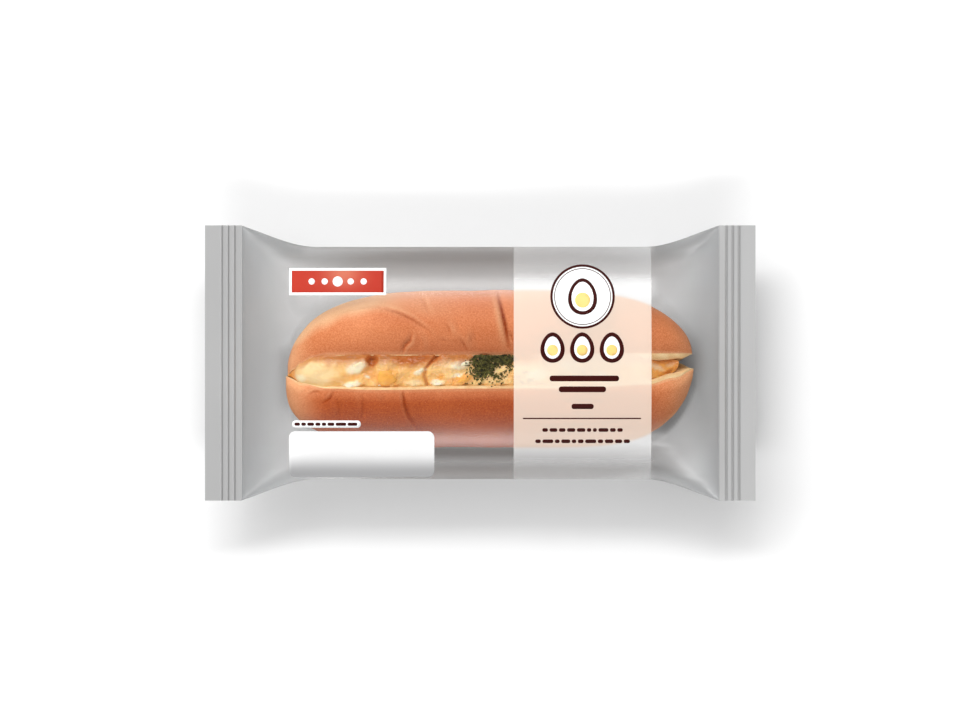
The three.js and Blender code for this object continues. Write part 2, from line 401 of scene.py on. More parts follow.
# Moist food lets light in under its surface.
def moistMaterial(name, look):
    look = dict(
        look,
        mottle=dict(scale=look["scale"], contrast=moistLook["contrast"], speckle=moistLook["speckle"]),
        grain=dict(coarse=380, fine=1300, strength=0.6, depth=look["relief"]),
    )
    material, tree, shader = simpleMaterial(name, look)
    setInputs(tree, shader, {
        "Subsurface Weight": moistLook["scatter"],
        "Subsurface Radius": moistLook["radius"],
        "Subsurface Scale": moistLook["reach"] * mm,
    })
    return material


filmLook = dict(
    ior=1.5, gloss=1.9, mostGloss=0.19, roughness=0.27,
    mirror=(1, 1, 1, 1), clear=(0.99, 0.99, 0.99, 1), veil=srgb(225, 226, 227),
)


# Clear film lets what is behind it through and lays a mirror of the lights over it.
def clearFilmMaterial():
    material, tree, shader, _ = startMaterial("clearFilm")
    tree.nodes.remove(shader)
    through = addNode(tree, "BsdfTransparent", {"Color": filmLook["clear"]}).outputs[0]
    mirror = {"Color": filmLook["mirror"], "Roughness": filmLook["roughness"]}
    gloss = addNode(tree, "BsdfGlossy", mirror).outputs[0]
    tint = addNode(tree, "BsdfDiffuse", {"Color": filmLook["veil"]}).outputs[0]
    fresnel = addNode(tree, "Fresnel", {"IOR": filmLook["ior"]}).outputs[0]
    share = calculate(tree, "MULTIPLY", fresnel, filmLook["gloss"], clamped=True)
    share = calculate(tree, "MINIMUM", share, filmLook["mostGloss"])
    outside = calculate(tree, "SUBTRACT", 1, addNode(tree, "NewGeometry").outputs["Backfacing"])
    # The stretched film beside the seals is duller.
    bright = calculate(tree, "SUBTRACT", outside, attribute(tree, "dull"))
    glossShare = calculate(tree, "MULTIPLY", share, bright, clamped=True)
    # A thin grey tint where the film stands clear of the roll, partly painted light on the shaded film there.
    tintShare = calculate(tree, "MULTIPLY", attribute(tree, "veil"), outside)
    setSurface(tree, mixShaders(tree, tintShare, mixShaders(tree, glossShare, through, gloss), tint))
    return material


# Grey film, with shade painted on it where an attribute marks it.
def greyFilmMaterial(name, low, high, tint):
    look = dict(
        tones=(low, high), mottle=dict(scale=25, contrast=1.0, speckle=0.05), zones=dict(paintedShade=tint),
        grain=dict(coarse=60, fine=260, strength=0.15, depth=0.3, share=0.2), roughness=0.32, specular=0.5)
    return simpleMaterial(name, look)[0]


# Thin ink lets most of the light through to what lies under it.
inkPass = 0.97


def letLightPass(tree, surface):
    ray = addNode(tree, "LightPath").outputs["Is Shadow Ray"]
    amount = calculate(tree, "MULTIPLY", ray, inkPass)
    setSurface(tree, mixShaders(tree, amount, surface, addNode(tree, "BsdfTransparent").outputs[0]))


# A second tint, where given, is painted light and shade on the print, where the "fade" attribute marks it.
def inkMaterial(name, low, high, paintedTint=None):
    look = dict(
        tones=(low, high), mottle=dict(scale=120, contrast=1.2, speckle=0.2),
        zones=dict(fade=paintedTint) if paintedTint else {}, roughness=0.55, specular=0.12)
    material, tree, shader = simpleMaterial(name, look)
    letLightPass(tree, shader.outputs[0])
    return material


panelLook = dict(
    tones=(srgb(231, 231, 231), srgb(237, 237, 237)),
    mottle=dict(scale=80, contrast=1.0, speckle=0.2),
    # Tones over the roll and over its filling.
    zones=dict(nearRoll=srgb(234, 217, 202), nearFilling=srgb(239, 228, 214)),
    roughness=0.6, specular=0.1,
    cover=0.5,                   # of one side of the ink, where it is densest
)


# White ink that the roll shows through.
def panelMaterial():
    material, tree, shader = simpleMaterial("panelInk", panelLook)
    through = addNode(tree, "BsdfTransparent").outputs[0]
    amount = calculate(tree, "MULTIPLY", attribute(tree, "inkDensity"), panelLook["cover"])
    letLightPass(tree, mixShaders(tree, amount, through, shader.outputs[0]))
    return material


crustMat = crustMaterial()
crumbMat = simpleMaterial("crumb", crumbLook)[0]
dressingMat = moistMaterial("eggDressing", dressingLook)
whiteMat = moistMaterial("eggWhite", whiteLook)
yolkMat = moistMaterial("eggYolk", yolkLook)
parsleyMat = simpleMaterial("parsley", parsleyLook)[0]
clearMat = clearFilmMaterial()
# The last tone of each grey film is the colour of its painted shade.
greyMat = greyFilmMaterial("greyFilm", srgb(178, 178, 178), srgb(186, 186, 186), srgb(110, 110, 110))
insideMat = greyFilmMaterial("insideFilm", srgb(230, 232, 233), srgb(236, 238, 239), srgb(155, 157, 158))
brownInk = inkMaterial("brownInk", srgb(54, 12, 9), srgb(64, 17, 13))
# The red ink's last tone is a painted highlight, and the label ink's last tone is a painted shade.
redInk = inkMaterial("redInk", srgb(178, 49, 34), srgb(188, 61, 46), srgb(208, 126, 100))
whiteInk = inkMaterial("whiteInk", srgb(250, 250, 250), srgb(255, 255, 255))
labelInk = inkMaterial("labelInk", srgb(250, 250, 250), srgb(255, 255, 255), srgb(176, 176, 177))
creamInk = inkMaterial("creamInk", srgb(246, 206, 118), srgb(251, 218, 142))
panelInk = panelMaterial()
print("materials ready")


# The bag: clear film in front, grey film behind, crimped ends and the folded seam
def filmSheet(startAngle, endAngle, left=-sealLine, right=sealLine, inset=0.0, along=220, around=96):
    def pointAt(u, w):
        # Rows stand closest together beside the seals.
        t = 2 * u - 1
        spread = math.copysign(1 - (1 - abs(t)) ** 1.5, t)
        x = mix(left, right, (spread + 1) / 2)
        return filmPoint(x, mix(startAngle, endAngle, w), inset)
    return gridMesh(along, around, pointAt)


seal = dict(
    ridges=3, first=6.9, pitch=2.65, width=1.5, height=0.55, depth=0.3,
    overlap=0.4,                 # into the body
    steps=(190, 24),
    # Shade is painted along the pressed lines, and the seal that more of the light falls on is painted
    # darker.
    lineTone=0.55, lineShift=0.25, lineWidth=0.42, tones=dict(leftSeal=0.2, rightSeal=0.02),
)


def ridgeLift(distance):
    for i in range(seal["ridges"]):
        off = abs(distance - seal["first"] - i * seal["pitch"])
        if off < seal["width"] / 2:
            return seal["height"] * (1 + math.cos(2 * math.pi * off / seal["width"])) / 2
    return 0.0


def sealSheet(side):
    def pointAt(u, w):
        distance = u * (bag["sealWidth"] + seal["overlap"])
        z = sealZ + seal["depth"] / 2 + ridgeLift(distance)
        return Vector((side * (bag["halfLength"] - distance), mix(-1, 1, w) * bag["flatHalf"], z))
    return gridMesh(*seal["steps"], pointAt)


for side, name in ((-1, "leftSeal"), (1, "rightSeal")):
    bm = sealSheet(side)
    paintedShade, = addLayers(bm, "paintedShade")
    for v in bm.verts:
        v[paintedShade] = seal["tones"][name]
        distance = bag["halfLength"] - abs(v.co.x) - seal["lineShift"]
        for i in range(seal["ridges"]):
            off = (distance - seal["first"] - i * seal["pitch"]) / seal["lineWidth"]
            v[paintedShade] = max(v[paintedShade], seal["lineTone"] * math.exp(-off * off))
    bmesh.ops.recalc_face_normals(bm, faces=bm.faces)
    turnUp(bm)
    addPiece(name, bm, [greyMat], "film", thickness=seal["depth"], smooth=False)

fin = dict(halfWidth=5.0, depth=0.34, gap=0.12, steps=(400, 6))


def finSheet():
    def pointAt(u, w):
        x = mix(-1, 1, u) * bag["halfLength"]
        if abs(x) > sealLine:
            distance = bag["halfLength"] - abs(x)
            z = sealZ - seal["depth"] / 2 + ridgeLift(distance)
        else:
            z = filmUnder(x, mix(-1, 1, w) * fin["halfWidth"]).z
        return Vector((x, mix(-1, 1, w) * fin["halfWidth"], z - fin["gap"]))
    return gridMesh(*fin["steps"], pointAt)


bm = finSheet()
turnUp(bm, False)
addPiece("backSeam", bm, [greyMat], "film", thickness=fin["depth"], wallSide=1)
print("bag ready")


# The roll: two soft lobes that meet at the back and open towards the front
roll = dict(
    left=-80.6, right=89.2, middle=5.0,
    centreZ=21.3, halfHeight=20.2,
    steps=(430, 210),
    heightEnds=((3.2, 2.3), (3.2, 2.1)),
    # A lobe's outline runs from the lip over the crown and the underside to the hinge, and back up
    # the cut face to the lip.
    crustShare=0.74,             # of the outline that is crust
    underside=0.84,              # where on the crust the flat underside begins
    sideFullness=0.75,           # under 1, the lower side is fuller than an ellipse
    rimStart=0.8,                # where on the cut face the rounding at the lip begins
    rimDrop=1.5, openDrop=1.6,   # how tall that rounding is, and what the open right end adds
    opening=(60, 75),            # along x, from shut to open
    leftTaper=(-64, -80), rightTaper=(66, 86),  # along x, where the ends grow longer or shorter
    filmGap=0.5,
    foldFade=6,                  # how far from the middle of the height the folds fade out
    # Soft waves of the crust, as the height, three scales and a layer.
    skin=[(0.35, 0.05, 0.06, 0.05, 7), (0.2, 0.14, 0.18, 0.15, 2)],
    lipFixed=0.012,              # share of the crust over which the waves start from the lip
    # lipLit paints the very edge of the lip paler, as a painted highlight.
    lipLit=0.5, lipLitReach=(0.03, 0.008),  # how much paler the very edge of the lip is
    crumbRelief=0.25,
)
upperLobe = dict(
    sign=1, outer=30.4, leftTip=-3.7, rightTip=4.0,
    # Each end's outline in plan, as the power and the root of its curve.
    leftEnd=(3.9, 1.93), rightEnd=(4.0, 1.7),
    crownShare=0.42,             # where the crown stands, from the lip outwards
    rim=0.6, bevel=3.6,          # the rounding at the lip, and what the open right end adds to it
    leftReach=0.0, rightShort=0.6,  # how much longer its left end is, and how much shorter its right
    lip=[(-80.3, -4.8), (-78, -2.6), (-75, -0.4), (-70, 2.2), (-64, 3.2), (-50, 3.4), (0, 3.4),
         (70, 4.0), (89.2, 4.0)],
    hinge=[(-80.3, -5.5), (-60, -3.6), (70, -3.6), (82.5, 0.4), (89.2, 3.6)],
)
lowerLobe = dict(
    sign=-1, outer=-35.3, leftTip=-7.0, rightTip=-2.7,
    leftEnd=(4.0, 2.8), rightEnd=(5.2, 1.62),
    crownShare=0.3,
    rim=1.2, bevel=1.8,
    leftReach=0.7, rightShort=0.0,
    lip=[(-80.3, -5.9), (-74, -8.6), (-64, -10.6), (-42, -11.2), (0, -10.6), (40, -10.6),
         (70, -8.9), (81, -6.1), (89.2, -2.7)],
    hinge=[(-80.3, -5.5), (-60, -3.6), (70, -3.6), (82.5, 0.2), (89.2, -2.4)],
)


# A fold pressed into the crust along a line in plan. dark is how much shade is painted along it.
# lean tips it, so that one side stands proud and the other lies in shade; the proud side also gets a painted
# highlight.
def crease(depth, width, lean, dark, *line):
    return dict(line=line, depth=depth, width=width, lean=lean, dark=dark)


upperLobe["creases"] = [
    crease(0.3, 1.0, 1.1, 0.0, (-62, 19.4), (-55, 22.0), (-46, 23.6), (-37, 22.0)),
    crease(0.6, 0.8, 1.1, 0.35, (-40, 22.8), (-34, 21.2), (-28, 18.2), (-20.5, 12.8)),
    crease(0.8, 0.8, -1.0, 0.45, (-32.6, 3.2), (-31.4, 6.8), (-29.2, 9.0), (-28.4, 12.6)),
    crease(1.2, 1.35, -0.6, 0.9, (7.4, 28.6), (9.2, 21.5), (10.6, 14.5), (11.9, 7.2)),
    crease(0.6, 0.7, -0.8, 0.4, (12.0, 13.4), (14.0, 8.4)),
    crease(0.45, 0.9, 0.9, 0.12, (-24.2, 27.8), (-21.2, 20.8)),
    crease(0.25, 0.5, 0.6, 0.3, (-16.8, 10.2), (-13.6, 8.8)),
    crease(0.3, 0.9, 0.6, 0.35, (-13.6, 16.0), (-12.2, 12.0)),
    crease(0.3, 0.8, -0.6, 0.25, (-4.4, 12.0), (-3.4, 8.2)),
    crease(0.35, 0.7, 0.7, 0.3, (-8.6, 10.8), (-6.8, 7.6), (-5.0, 4.6)),
    crease(0.3, 1.3, 0.6, 0.0, (-27.0, 13.4), (-24.4, 8.4), (-25.0, 4.6)),
    crease(0.3, 1.4, -0.7, 0.0, (-11.0, 19.0), (-8.0, 12.4)),
    crease(0.25, 1.2, -0.6, 0.05, (-3.0, 14.0), (-1.2, 6.2)),
    crease(0.45, 1.2, 0.7, 0.3, (51, 17.5), (58, 10.5), (64, 4.2)),
]
lowerLobe["creases"] = [
    crease(0.8, 0.8, -1.0, 0.5, (-32.2, -10.8), (-31.4, -17.2), (-29.8, -22.4), (-26.4, -27.4)),
    crease(0.3, 1.3, -0.9, 0.05, (-49.4, -11.2), (-48.6, -17.5), (-49.4, -24)),
    crease(0.35, 1.2, -0.9, 0.06, (-60.4, -13.8), (-58.8, -18.6), (-58.4, -23.5)),
    crease(0.5, 0.7, 0.7, 0.3, (-71.6, -13.2), (-69.6, -11.8), (-67.6, -11.6), (-66.0, -12.6)),
    crease(0.5, 0.8, 0.8, 0.22, (-65.4, -16.6), (-62.6, -14.6), (-60.8, -11.6)),
    crease(0.3, 0.7, 0.6, 0.1, (-75.4, -12.6), (-73.2, -11.0)),
    crease(0.2, 1.0, -0.8, 0.0, (-40.6, -11.6), (-40.0, -16.6)),
    crease(0.2, 1.0, 0.8, 0.0, (-18.6, -11.6), (-17.8, -15.8)),
    crease(0.5, 1.0, -0.7, 0.3, (15.2, -11.2), (16.4, -16.5), (18.6, -21.8)),
    crease(0.25, 1.2, 0.5, 0.05, (-12, -20), (-8, -22.5)),
]
paleFold = [(-78, 7), (-66, 15.6), (-55, 20.6), (-41, 23.2), (-31, 21.5), (-20, 20)]


# A smooth line through a few places, given as (x, y).
def through(points, x):
    if x <= points[0][0]:
        return points[0][1]
    for (x0, y0), (x1, y1) in zip(points, points[1:]):
        if x <= x1:
            return mix(y0, y1, smoothStep(x0, x1, x))
    return points[-1][1]


def endFactor(x, left, right):
    if x < roll["middle"]:
        t, (power, root) = (roll["middle"] - x) / (roll["middle"] - roll["left"]), left
    else:
        t, (power, root) = (x - roll["middle"]) / (roll["right"] - roll["middle"]), right
    return (1 - clamp(t) ** power) ** (1 / root)


# How far a place of the plan is from a line, on which side of it, and how far along it.
def nearestOn(line, x, y):
    best = None
    for i, ((ax, ay), (bx, by)) in enumerate(zip(line, line[1:])):
        dx, dy = bx - ax, by - ay
        t = clamp(((x - ax) * dx + (y - ay) * dy) / (dx * dx + dy * dy))
        off = math.hypot(x - ax - dx * t, y - ay - dy * t)
        if best is None or off < best[0]:
            side = math.copysign(1, (x - ax) * dy - (y - ay) * dx)
            best = (off, side, (i + t) / (len(line) - 1))
    return best


# What all folds have in common. Reach, widths and the place of the painted highlight are shares of a fold's
# own width.
foldShape = dict(
    reach=5, ends=(0.04, 0.96), endPower=0.6, swell=0.6, swellWidth=2.2, darkWidth=0.55,
    paintedLight=0.5, litPlace=1.5, litWidth=0.9,
)


# How deep the folds are at a place, how much shade is painted in them, and how much painted highlight their
# raised sides get.
def creasesAt(creases, x, y):
    shape = foldShape
    depth = dark = paintedLight = 0.0
    for fold in creases:
        width = fold["width"]
        off, side, place = nearestOn(fold["line"], x, y)
        if off < shape["reach"] * width:
            fade = math.sin(math.pi * clamp(place, *shape["ends"])) ** shape["endPower"]
            valley = math.exp(-(off / width) ** 2)
            swell = math.exp(-(off / (shape["swellWidth"] * width)) ** 2)
            swell *= side * fold["lean"] * shape["swell"]
            depth += fold["depth"] * fade * (valley + swell)
            dark += fold["dark"] * fade * math.exp(-(off / (shape["darkWidth"] * width)) ** 2)
            if side * fold["lean"] < 0:
                glow = math.exp(-((off / width - shape["litPlace"]) / shape["litWidth"]) ** 2)
                paintedLight += shape["paintedLight"] * fold["depth"] * fade * glow
    return depth, dark, paintedLight


@lru_cache(maxsize=None)
def lobeFrame(x, upper):
    lobe = upperLobe if upper else lowerLobe
    sign = lobe["sign"]
    tip = lobe["leftTip"] if x < roll["middle"] else lobe["rightTip"]
    outer = mix(tip, lobe["outer"], endFactor(x, lobe["leftEnd"], lobe["rightEnd"]))
    lip, hinge = through(lobe["lip"], x), through(lobe["hinge"], x)
    if sign * (outer - lip) < 0:
        lip = outer
    tall = roll["halfHeight"] * endFactor(x, *roll["heightEnds"])
    crown = mix(lip, outer, lobe["crownShare"])
    lipAcross = -clamp(abs(crown - lip) / max(abs(crown - hinge), 1e-4))
    return outer, lip, hinge, crown, tall, lipAcross, math.sqrt(1 - lipAcross ** 2)


def lipHeight(x, upper):
    tall, _, lipUp = lobeFrame(x, upper)[4:]
    return roll["centreZ"] + tall * lipUp


def lobePoint(x, w, upper):
    lobe = upperLobe if upper else lowerLobe
    sign, share = lobe["sign"], roll["crustShare"]
    outer, lip, hinge, crown, tall, lipAcross, lipUp = lobeFrame(x, upper)
    if w < share:
        t, flat = w / share, roll["underside"]
        if t < flat:
            angle = mix(math.atan2(lipUp, lipAcross), -math.pi / 2, t / flat)
            across, up = math.cos(angle), math.sin(angle)
            reach = abs(outer - crown) if across > 0 else abs(crown - hinge)
            if up < 0:
                across, up = across ** roll["sideFullness"], -abs(up) ** roll["sideFullness"]
            return Vector((x, crown + sign * reach * across, roll["centreZ"] + tall * up))
        y = mix(crown, hinge, (t - flat) / (1 - flat))
        return Vector((x, y, roll["centreZ"] - tall))
    # The cut face rises from the hinge and rounds over to the lip.
    t, start = (w - share) / (1 - share), roll["rimStart"]
    size = tall / roll["halfHeight"]
    opening = smoothStep(*roll["opening"], x)
    edge = lip - sign * (lobe["rim"] + lobe["bevel"] * opening) * size
    if sign * (edge - hinge) < 0:
        edge = hinge
    drop = (roll["rimDrop"] + roll["openDrop"] * opening) * size
    if t < start:
        y, z = mix(hinge, edge, t / start), mix(-tall, tall * lipUp - drop, t / start)
    else:
        turn = (t - start) / (1 - start) * math.pi / 2
        y, z = mix(edge, lip, 1 - math.cos(turn)), tall * lipUp - drop * (1 - math.sin(turn))
    return Vector((x, y, roll["centreZ"] + z))


# Tones of the crust: its own browning, with painted light and painted shade in it. The lower lobe is painted
# darker all over, partly as its own browning and partly as painted shade, and paler near its lip, at its ends
# and at its lower right corner, as painted light. The upper lobe is painted darker near its lip, as painted
# shade, and paler at its left end and over the long fold, as painted light where the print's shadow falls.
# A range gives where a tone begins and where it is full: along x, from the lip in plan, or round the lobe
# from its lip, at 0, to its back, at 1.
upperTone = dict(
    fold=(-3.5, 2.5), foldEnd=(-4, -24), foldFading=(-28, -50), foldLeast=0.3,
    rim=(0.3, 0.46), rimPale=0.25, left=(-68, -80), leftPale=0.5, right=(77, 88), rightPale=0.3,
    bakeAndShade=0.12, middle=(-60, -20), middleBake=0.2,
    lip=(9, 0.5), lipBake=0.12, lipLeft=0.7, lipRight=0.8, lipRightFrom=(60, 78),
)
lowerTone = dict(
    rim=(0.5, 0.7), rimPale=0.3, left=(-63, -80), leftPale=0.55, right=(75, 88), rightPale=0.5,
    corner=(0.28, 0.44), cornerFrom=(62, 74), cornerPale=0.55,
    bakeAndShade=0.88, lip=(6, 0.5), lipBake=-0.4, leftBake=-0.6, rightFrom=(64, 80), rightBake=-0.65,
)


# How pale and how baked the crust is at a place, painted light and painted shade included.
def crustTone(upper, x, y, t):
    lobe, tone = (upperLobe, upperTone) if upper else (lowerLobe, lowerTone)
    rim = tone["rimPale"] * smoothStep(*tone["rim"], t)
    left = smoothStep(*tone["left"], x)
    nearLip = smoothStep(*tone["lip"], abs(y - through(lobe["lip"], x)))
    ends = max(tone["leftPale"] * left, tone["rightPale"] * smoothStep(*tone["right"], x))
    if upper:
        overFold = smoothStep(*tone["fold"], y - through(paleFold, x)) * smoothStep(*tone["foldEnd"], x)
        overFold *= mix(tone["foldLeast"], 1, smoothStep(*tone["foldFading"], x))
        pale = max(overFold + rim, ends)
        nearLip *= 1 - tone["lipLeft"] * left
        nearLip *= 1 - tone["lipRight"] * smoothStep(*tone["lipRightFrom"], x)
        baked = tone["bakeAndShade"] + tone["middleBake"] * smoothStep(*tone["middle"], x) + tone["lipBake"] * nearLip
    else:
        corner = smoothStep(*tone["corner"], t) * smoothStep(*tone["cornerFrom"], x)
        pale = max(ends, rim, tone["cornerPale"] * corner)
        baked = tone["bakeAndShade"] + tone["lipBake"] * nearLip + tone["leftBake"] * left
        baked += tone["rightBake"] * smoothStep(*tone["rightFrom"], x)
    return pale, baked


def lobeMesh(upper):
    lobe = upperLobe if upper else lowerLobe
    share = roll["crustShare"]
    bm = bmesh.new()
    bmesh.ops.create_grid(bm, x_segments=roll["steps"][0], y_segments=roll["steps"][1], size=0.5)
    palenessAndLight, bakeAndShade = addLayers(bm, "palenessAndLight", "bakeAndShade")
    for f in bm.faces:
        f.material_index = 0 if f.calc_center_median().y + 0.5 < share else 1
    half = (roll["right"] - roll["left"]) / 2
    spots = {}
    for v in bm.verts:
        spots[v] = v.co.y + 0.5
        x = roll["left"] + half * (1 + math.sin(math.pi * v.co.x))
        v.co = lobePoint(round(x, 5), v.co.y + 0.5, upper)
        left, right = smoothStep(*roll["leftTaper"], x), smoothStep(*roll["rightTaper"], x)
        v.co.x -= lobe["leftReach"] * left + lobe["rightShort"] * right
    bm.normal_update()
    outward = 1 if sum(v.normal.z for v in bm.verts if v.co.z > roll["centreZ"] + 15) > 0 else -1
    foldLow, foldHigh = roll["centreZ"] - roll["foldFade"], roll["centreZ"] + roll["foldFade"]
    for v in bm.verts:
        w = spots[v]
        x, y, z = v.co
        if w <= share:
            shade = paintedLight = 0.0
            if z > foldLow:
                depth, shade, paintedLight = creasesAt(lobe["creases"], x, y)
                sink = depth * smoothStep(foldLow, foldHigh, z)
                for height, a, b, c, level in roll["skin"]:
                    sink += height * noise.noise(Vector((x * a, y * b, z * c + level)))
                # Crust and crumb meet at the lip, so nothing moves there.
                v.co -= v.normal * outward * sink * smoothStep(0, roll["lipFixed"], w / share)
            # The very edge of the lip is thin, and it is painted paler there as a painted highlight.
            paintedLight += roll["lipLit"] * smoothStep(*roll["lipLitReach"], w / share)
            pale, baked = crustTone(upper, x, y, w / share)
            v[palenessAndLight] = clamp(clamp(pale) + paintedLight)
            v[bakeAndShade] = clamp(baked + shade)
        else:
            inner = math.sin(math.pi * (w - share) / (1 - share))
            v.co.y += roll["crumbRelief"] * inner * noise.noise(Vector((x * 0.35, 4.0, z * 0.35)))
        v.co.z = min(v.co.z, filmOver(x, y).z - roll["filmGap"])
        v.co.z = max(v.co.z, filmUnder(x, y).z + roll["filmGap"])
    bmesh.ops.remove_doubles(bm, verts=bm.verts, dist=1e-3)
    bmesh.ops.recalc_face_normals(bm, faces=bm.faces)
    return bm


upperMesh = lobeMesh(True)
lowerMesh = lobeMesh(False)
print("roll lobes", len(upperMesh.verts), len(lowerMesh.verts))


# The filling: dressing that fills the slit, with pieces of white and yolk standing out of it
filling = dict(
    left=-80.45, right=82.9, steps=(560, 150), seed=11,
    floorDepth=0.61,             # below the roll's middle, as a share of its half height
    topShare=0.7, sideShare=0.15,  # of the outline, that is its top and each side
    endPowers=(260, 36),         # how blunt the left and the right end are in plan
    opening=(62, 75),            # where along x the slit opens at the right end
    lips=(0.35, 0.1),            # how far it runs past the lower and the upper lip
    openLips=(1.0, -2.2),        # what the open right end adds to that
    crown=1.6,                   # how much it bulges between the lips
    below=(0.2, 0.9), belowAlong=(-78, -74),  # how far it lies below the lips, at the left end and past it
    rightSink=2.6, rightAlong=(64, 78),  # how much deeper it lies in the open right end
    # The blunt left end is rounded in plan, with a warm pocket.
    nose=(0.1, -3.9), noseSink=0.8, noseAlong=(-76.8, -77.8), pocket=(-76.9, -77.5),
    pressed=0.8, pressedReach=(2.2, 0),  # up against the upper lip
    roughAlong=(-60, -46),
    # Waves of its surface: their height where it is smooth and where it is rough, two scales, a layer.
    waves=[(0.8, 0.8, 0.13, 0.16, 0.3), (0.3, 0.9, 0.26, 0.32, 4.1),
           (0.1, 0.25, 0.8, 0.9, 8.2), (0.05, 0.15, 1.9, 2.1, 2.6)],
    warmEdge=2.0, whiteEdge=2.6,  # how sharply the warm and the white places end
)

# Painted shade on the dressing under the upper lobe, which hangs over it.
lipShade = dict(
    tone=0.86, reach=(2.6, 6.6), reachAlong=(-71, -62), full=0.8, raggedness=1.4,
    leftShare=0.35, leftAlong=(-77, -66), rightShare=0.5, rightAlong=(60, 76),
)

# Soft places of the dressing, as (x, y, half length, half width, turn in degrees, amount).
mounds = [
    (-66.5, -4.2, 10.5, 6.2, 0, 1.5), (-39, 0.4, 4.6, 3.0, 0, 0.8), (-45, 0.9, 1.9, 2.0, 0, -2.0),
    (-46.2, -4.6, 2.8, 3.2, 0, -0.9), (-28.5, -0.6, 6, 3.4, 0, -0.5), (-27.3, -8, 4.6, 2.2, 0, 0.7),
    (-16, -1.3, 5.2, 4.2, 0, 1.1), (3, -6.5, 6, 3, 0, 0.5), (11, -3, 4, 5, 0, 0.6),
    (-51.3, -1.6, 5.2, 2.7, 27, 1.0), (-53.3, -9.0, 4.0, 1.7, 9, 0.8), (-39, -6.6, 4.3, 3.6, 6, 0.9),
    (-25.2, -3.3, 3.3, 1.3, 24, 0.7), (-8, -0.5, 4.9, 2.0, 14, 0.9), (-17.9, -8.4, 3.2, 1.6, 5, 0.7),
    (-8, -6.7, 4.6, 1.9, 14, 0.5),
]
warmth = [
    (-53.6, -5.4, 3.6, 1.8, 0, 0.4), (-39, -6.6, 4.6, 4.0, 6, 0.95),
    (-46, -4.5, 3.2, 3.6, 0, 0.55), (-8.5, -6.6, 6.4, 2.1, 12, 0.7), (-60, -7.8, 4, 1.5, 0, 0.3),
    (-73, 0.4, 3.5, 1.1, 30, 0.5), (77, -3, 8, 6, 0, 0.8), (60, -3, 8, 5, 0, 0.4),
    (-16.2, -5.8, 1.8, 1.3, 0, 0.7),
]
# Painted shade on the dressing, in the same form.
tanShade = [
    (-45, 0.9, 2.1, 2.2, 0, 1.0), (-28, 0.4, 7.5, 3.2, 0, 0.4), (-46, -3.8, 3.0, 3.2, 0, 0.3),
    (76, 1.2, 8, 1.6, 0, 0.4), (68, -6.0, 6, 0.8, 8, 0.35), (78.5, -3.4, 1.6, 1.0, 30, 0.5),
]
whiteness = [
    (-51.3, -1.6, 5.0, 2.5, 27, 1.0), (-53.3, -9.0, 3.8, 1.5, 9, 1.0), (-46.9, -5.8, 1.3, 1.0, 0, 0.8),
    (-25.2, -3.3, 3.1, 1.1, 24, 0.9), (-17.9, -8.4, 3.0, 1.5, 5, 0.95), (-8, -0.5, 4.7, 1.8, 14, 1.0),
    (-9.6, -5.1, 2.6, 0.8, 8, 0.8), (-68.5, -4.0, 9.5, 5.0, 0, 0.32), (-75.0, -6.4, 2.6, 1.6, -14, 0.5),
    (-27.5, -8.4, 4.0, 1.6, 0, 0.4), (-31, 1.0, 1.6, 1.2, 0, 0.5), (-40, 0.6, 2.6, 1.6, 20, 0.3),
    (-15, 0, 3.4, 2.4, 0, 0.4), (24, -5, 4.6, 2.4, 10, 0.9), (38, -1, 4, 2.2, -20, 0.8),
    (51, -6, 4.4, 2, 8, 0.7), (-26.4, 1.2, 0.8, 1.2, 0, 0.6), (73.5, -1.6, 3.4, 1.4, -16, 0.5),
    (79.5, -0.6, 2.2, 1.1, 20, 0.4),
]
# A crack in the dressing; its tone is the shade painted along it.
crack = dict(
    line=[(-17.8, 2.9), (-20.6, 0.2), (-22.6, -2.4), (-23.2, -5.2), (-21.9, -9.6)],
    depth=1.4, width=0.7, tone=0.5,
)


# A sum of soft waves over the plan, each given as its height, its two scales and its layer.
def waves(x, y, *parts):
    total = 0.0
    for height, along, across, layer in parts:
        total += height * noise.noise(Vector((x * along, y * across, layer)))
    return total


def softSpots(spots, x, y, sharpness=1.6):
    # The outlines wander, as those of chopped pieces do.
    x += waves(x, y, (0.7, 0.42, 0.42, 1.7), (0.25, 1.3, 1.3, 6.1))
    y += waves(x, y, (0.7, 0.42, 0.42, 9.3), (0.25, 1.3, 1.3, 3.4))
    total = 0.0
    for cx, cy, halfLength, halfWidth, turn, amount in spots:
        if abs(x - cx) > 2.5 * halfLength + 2:
            continue
        c, n = math.cos(math.radians(turn)), math.sin(math.radians(turn))
        along = ((x - cx) * c + (y - cy) * n) / halfLength
        across = ((y - cy) * c - (x - cx) * n) / halfWidth
        total += amount * math.exp(-(along ** 2 + across ** 2) ** sharpness)
    return total


def crackAt(x, y):
    return math.exp(-(nearestOn(crack["line"], x, y)[0] / crack["width"]) ** 2)


def noseAt(y):
    bend, middle = filling["nose"]
    return -bend * (y - middle) ** 2


def fillHeight(x, y):
    low, high = through(lowerLobe["lip"], x), through(upperLobe["lip"], x)
    top = min(lipHeight(round(x, 3), True), lipHeight(round(x, 3), False))
    below = mix(*filling["below"], smoothStep(*filling["belowAlong"], x))
    top -= below + filling["rightSink"] * smoothStep(*filling["rightAlong"], x)
    top -= filling["noseSink"] * smoothStep(*filling["noseAlong"], x + noseAt(y))
    middle, half = (low + high) / 2, max((high - low) / 2, 0.5)
    top += filling["crown"] * (1 - ((y - middle) / half) ** 2)
    top += softSpots(mounds, x, y) - crack["depth"] * crackAt(x, y)
    top += filling["pressed"] * smoothStep(*filling["pressedReach"], high - y)
    rough = smoothStep(*filling["roughAlong"], x)
    parts = [(mix(soft, coarse, rough), *rest) for soft, coarse, *rest in filling["waves"]]
    return top + waves(x, y, *parts)


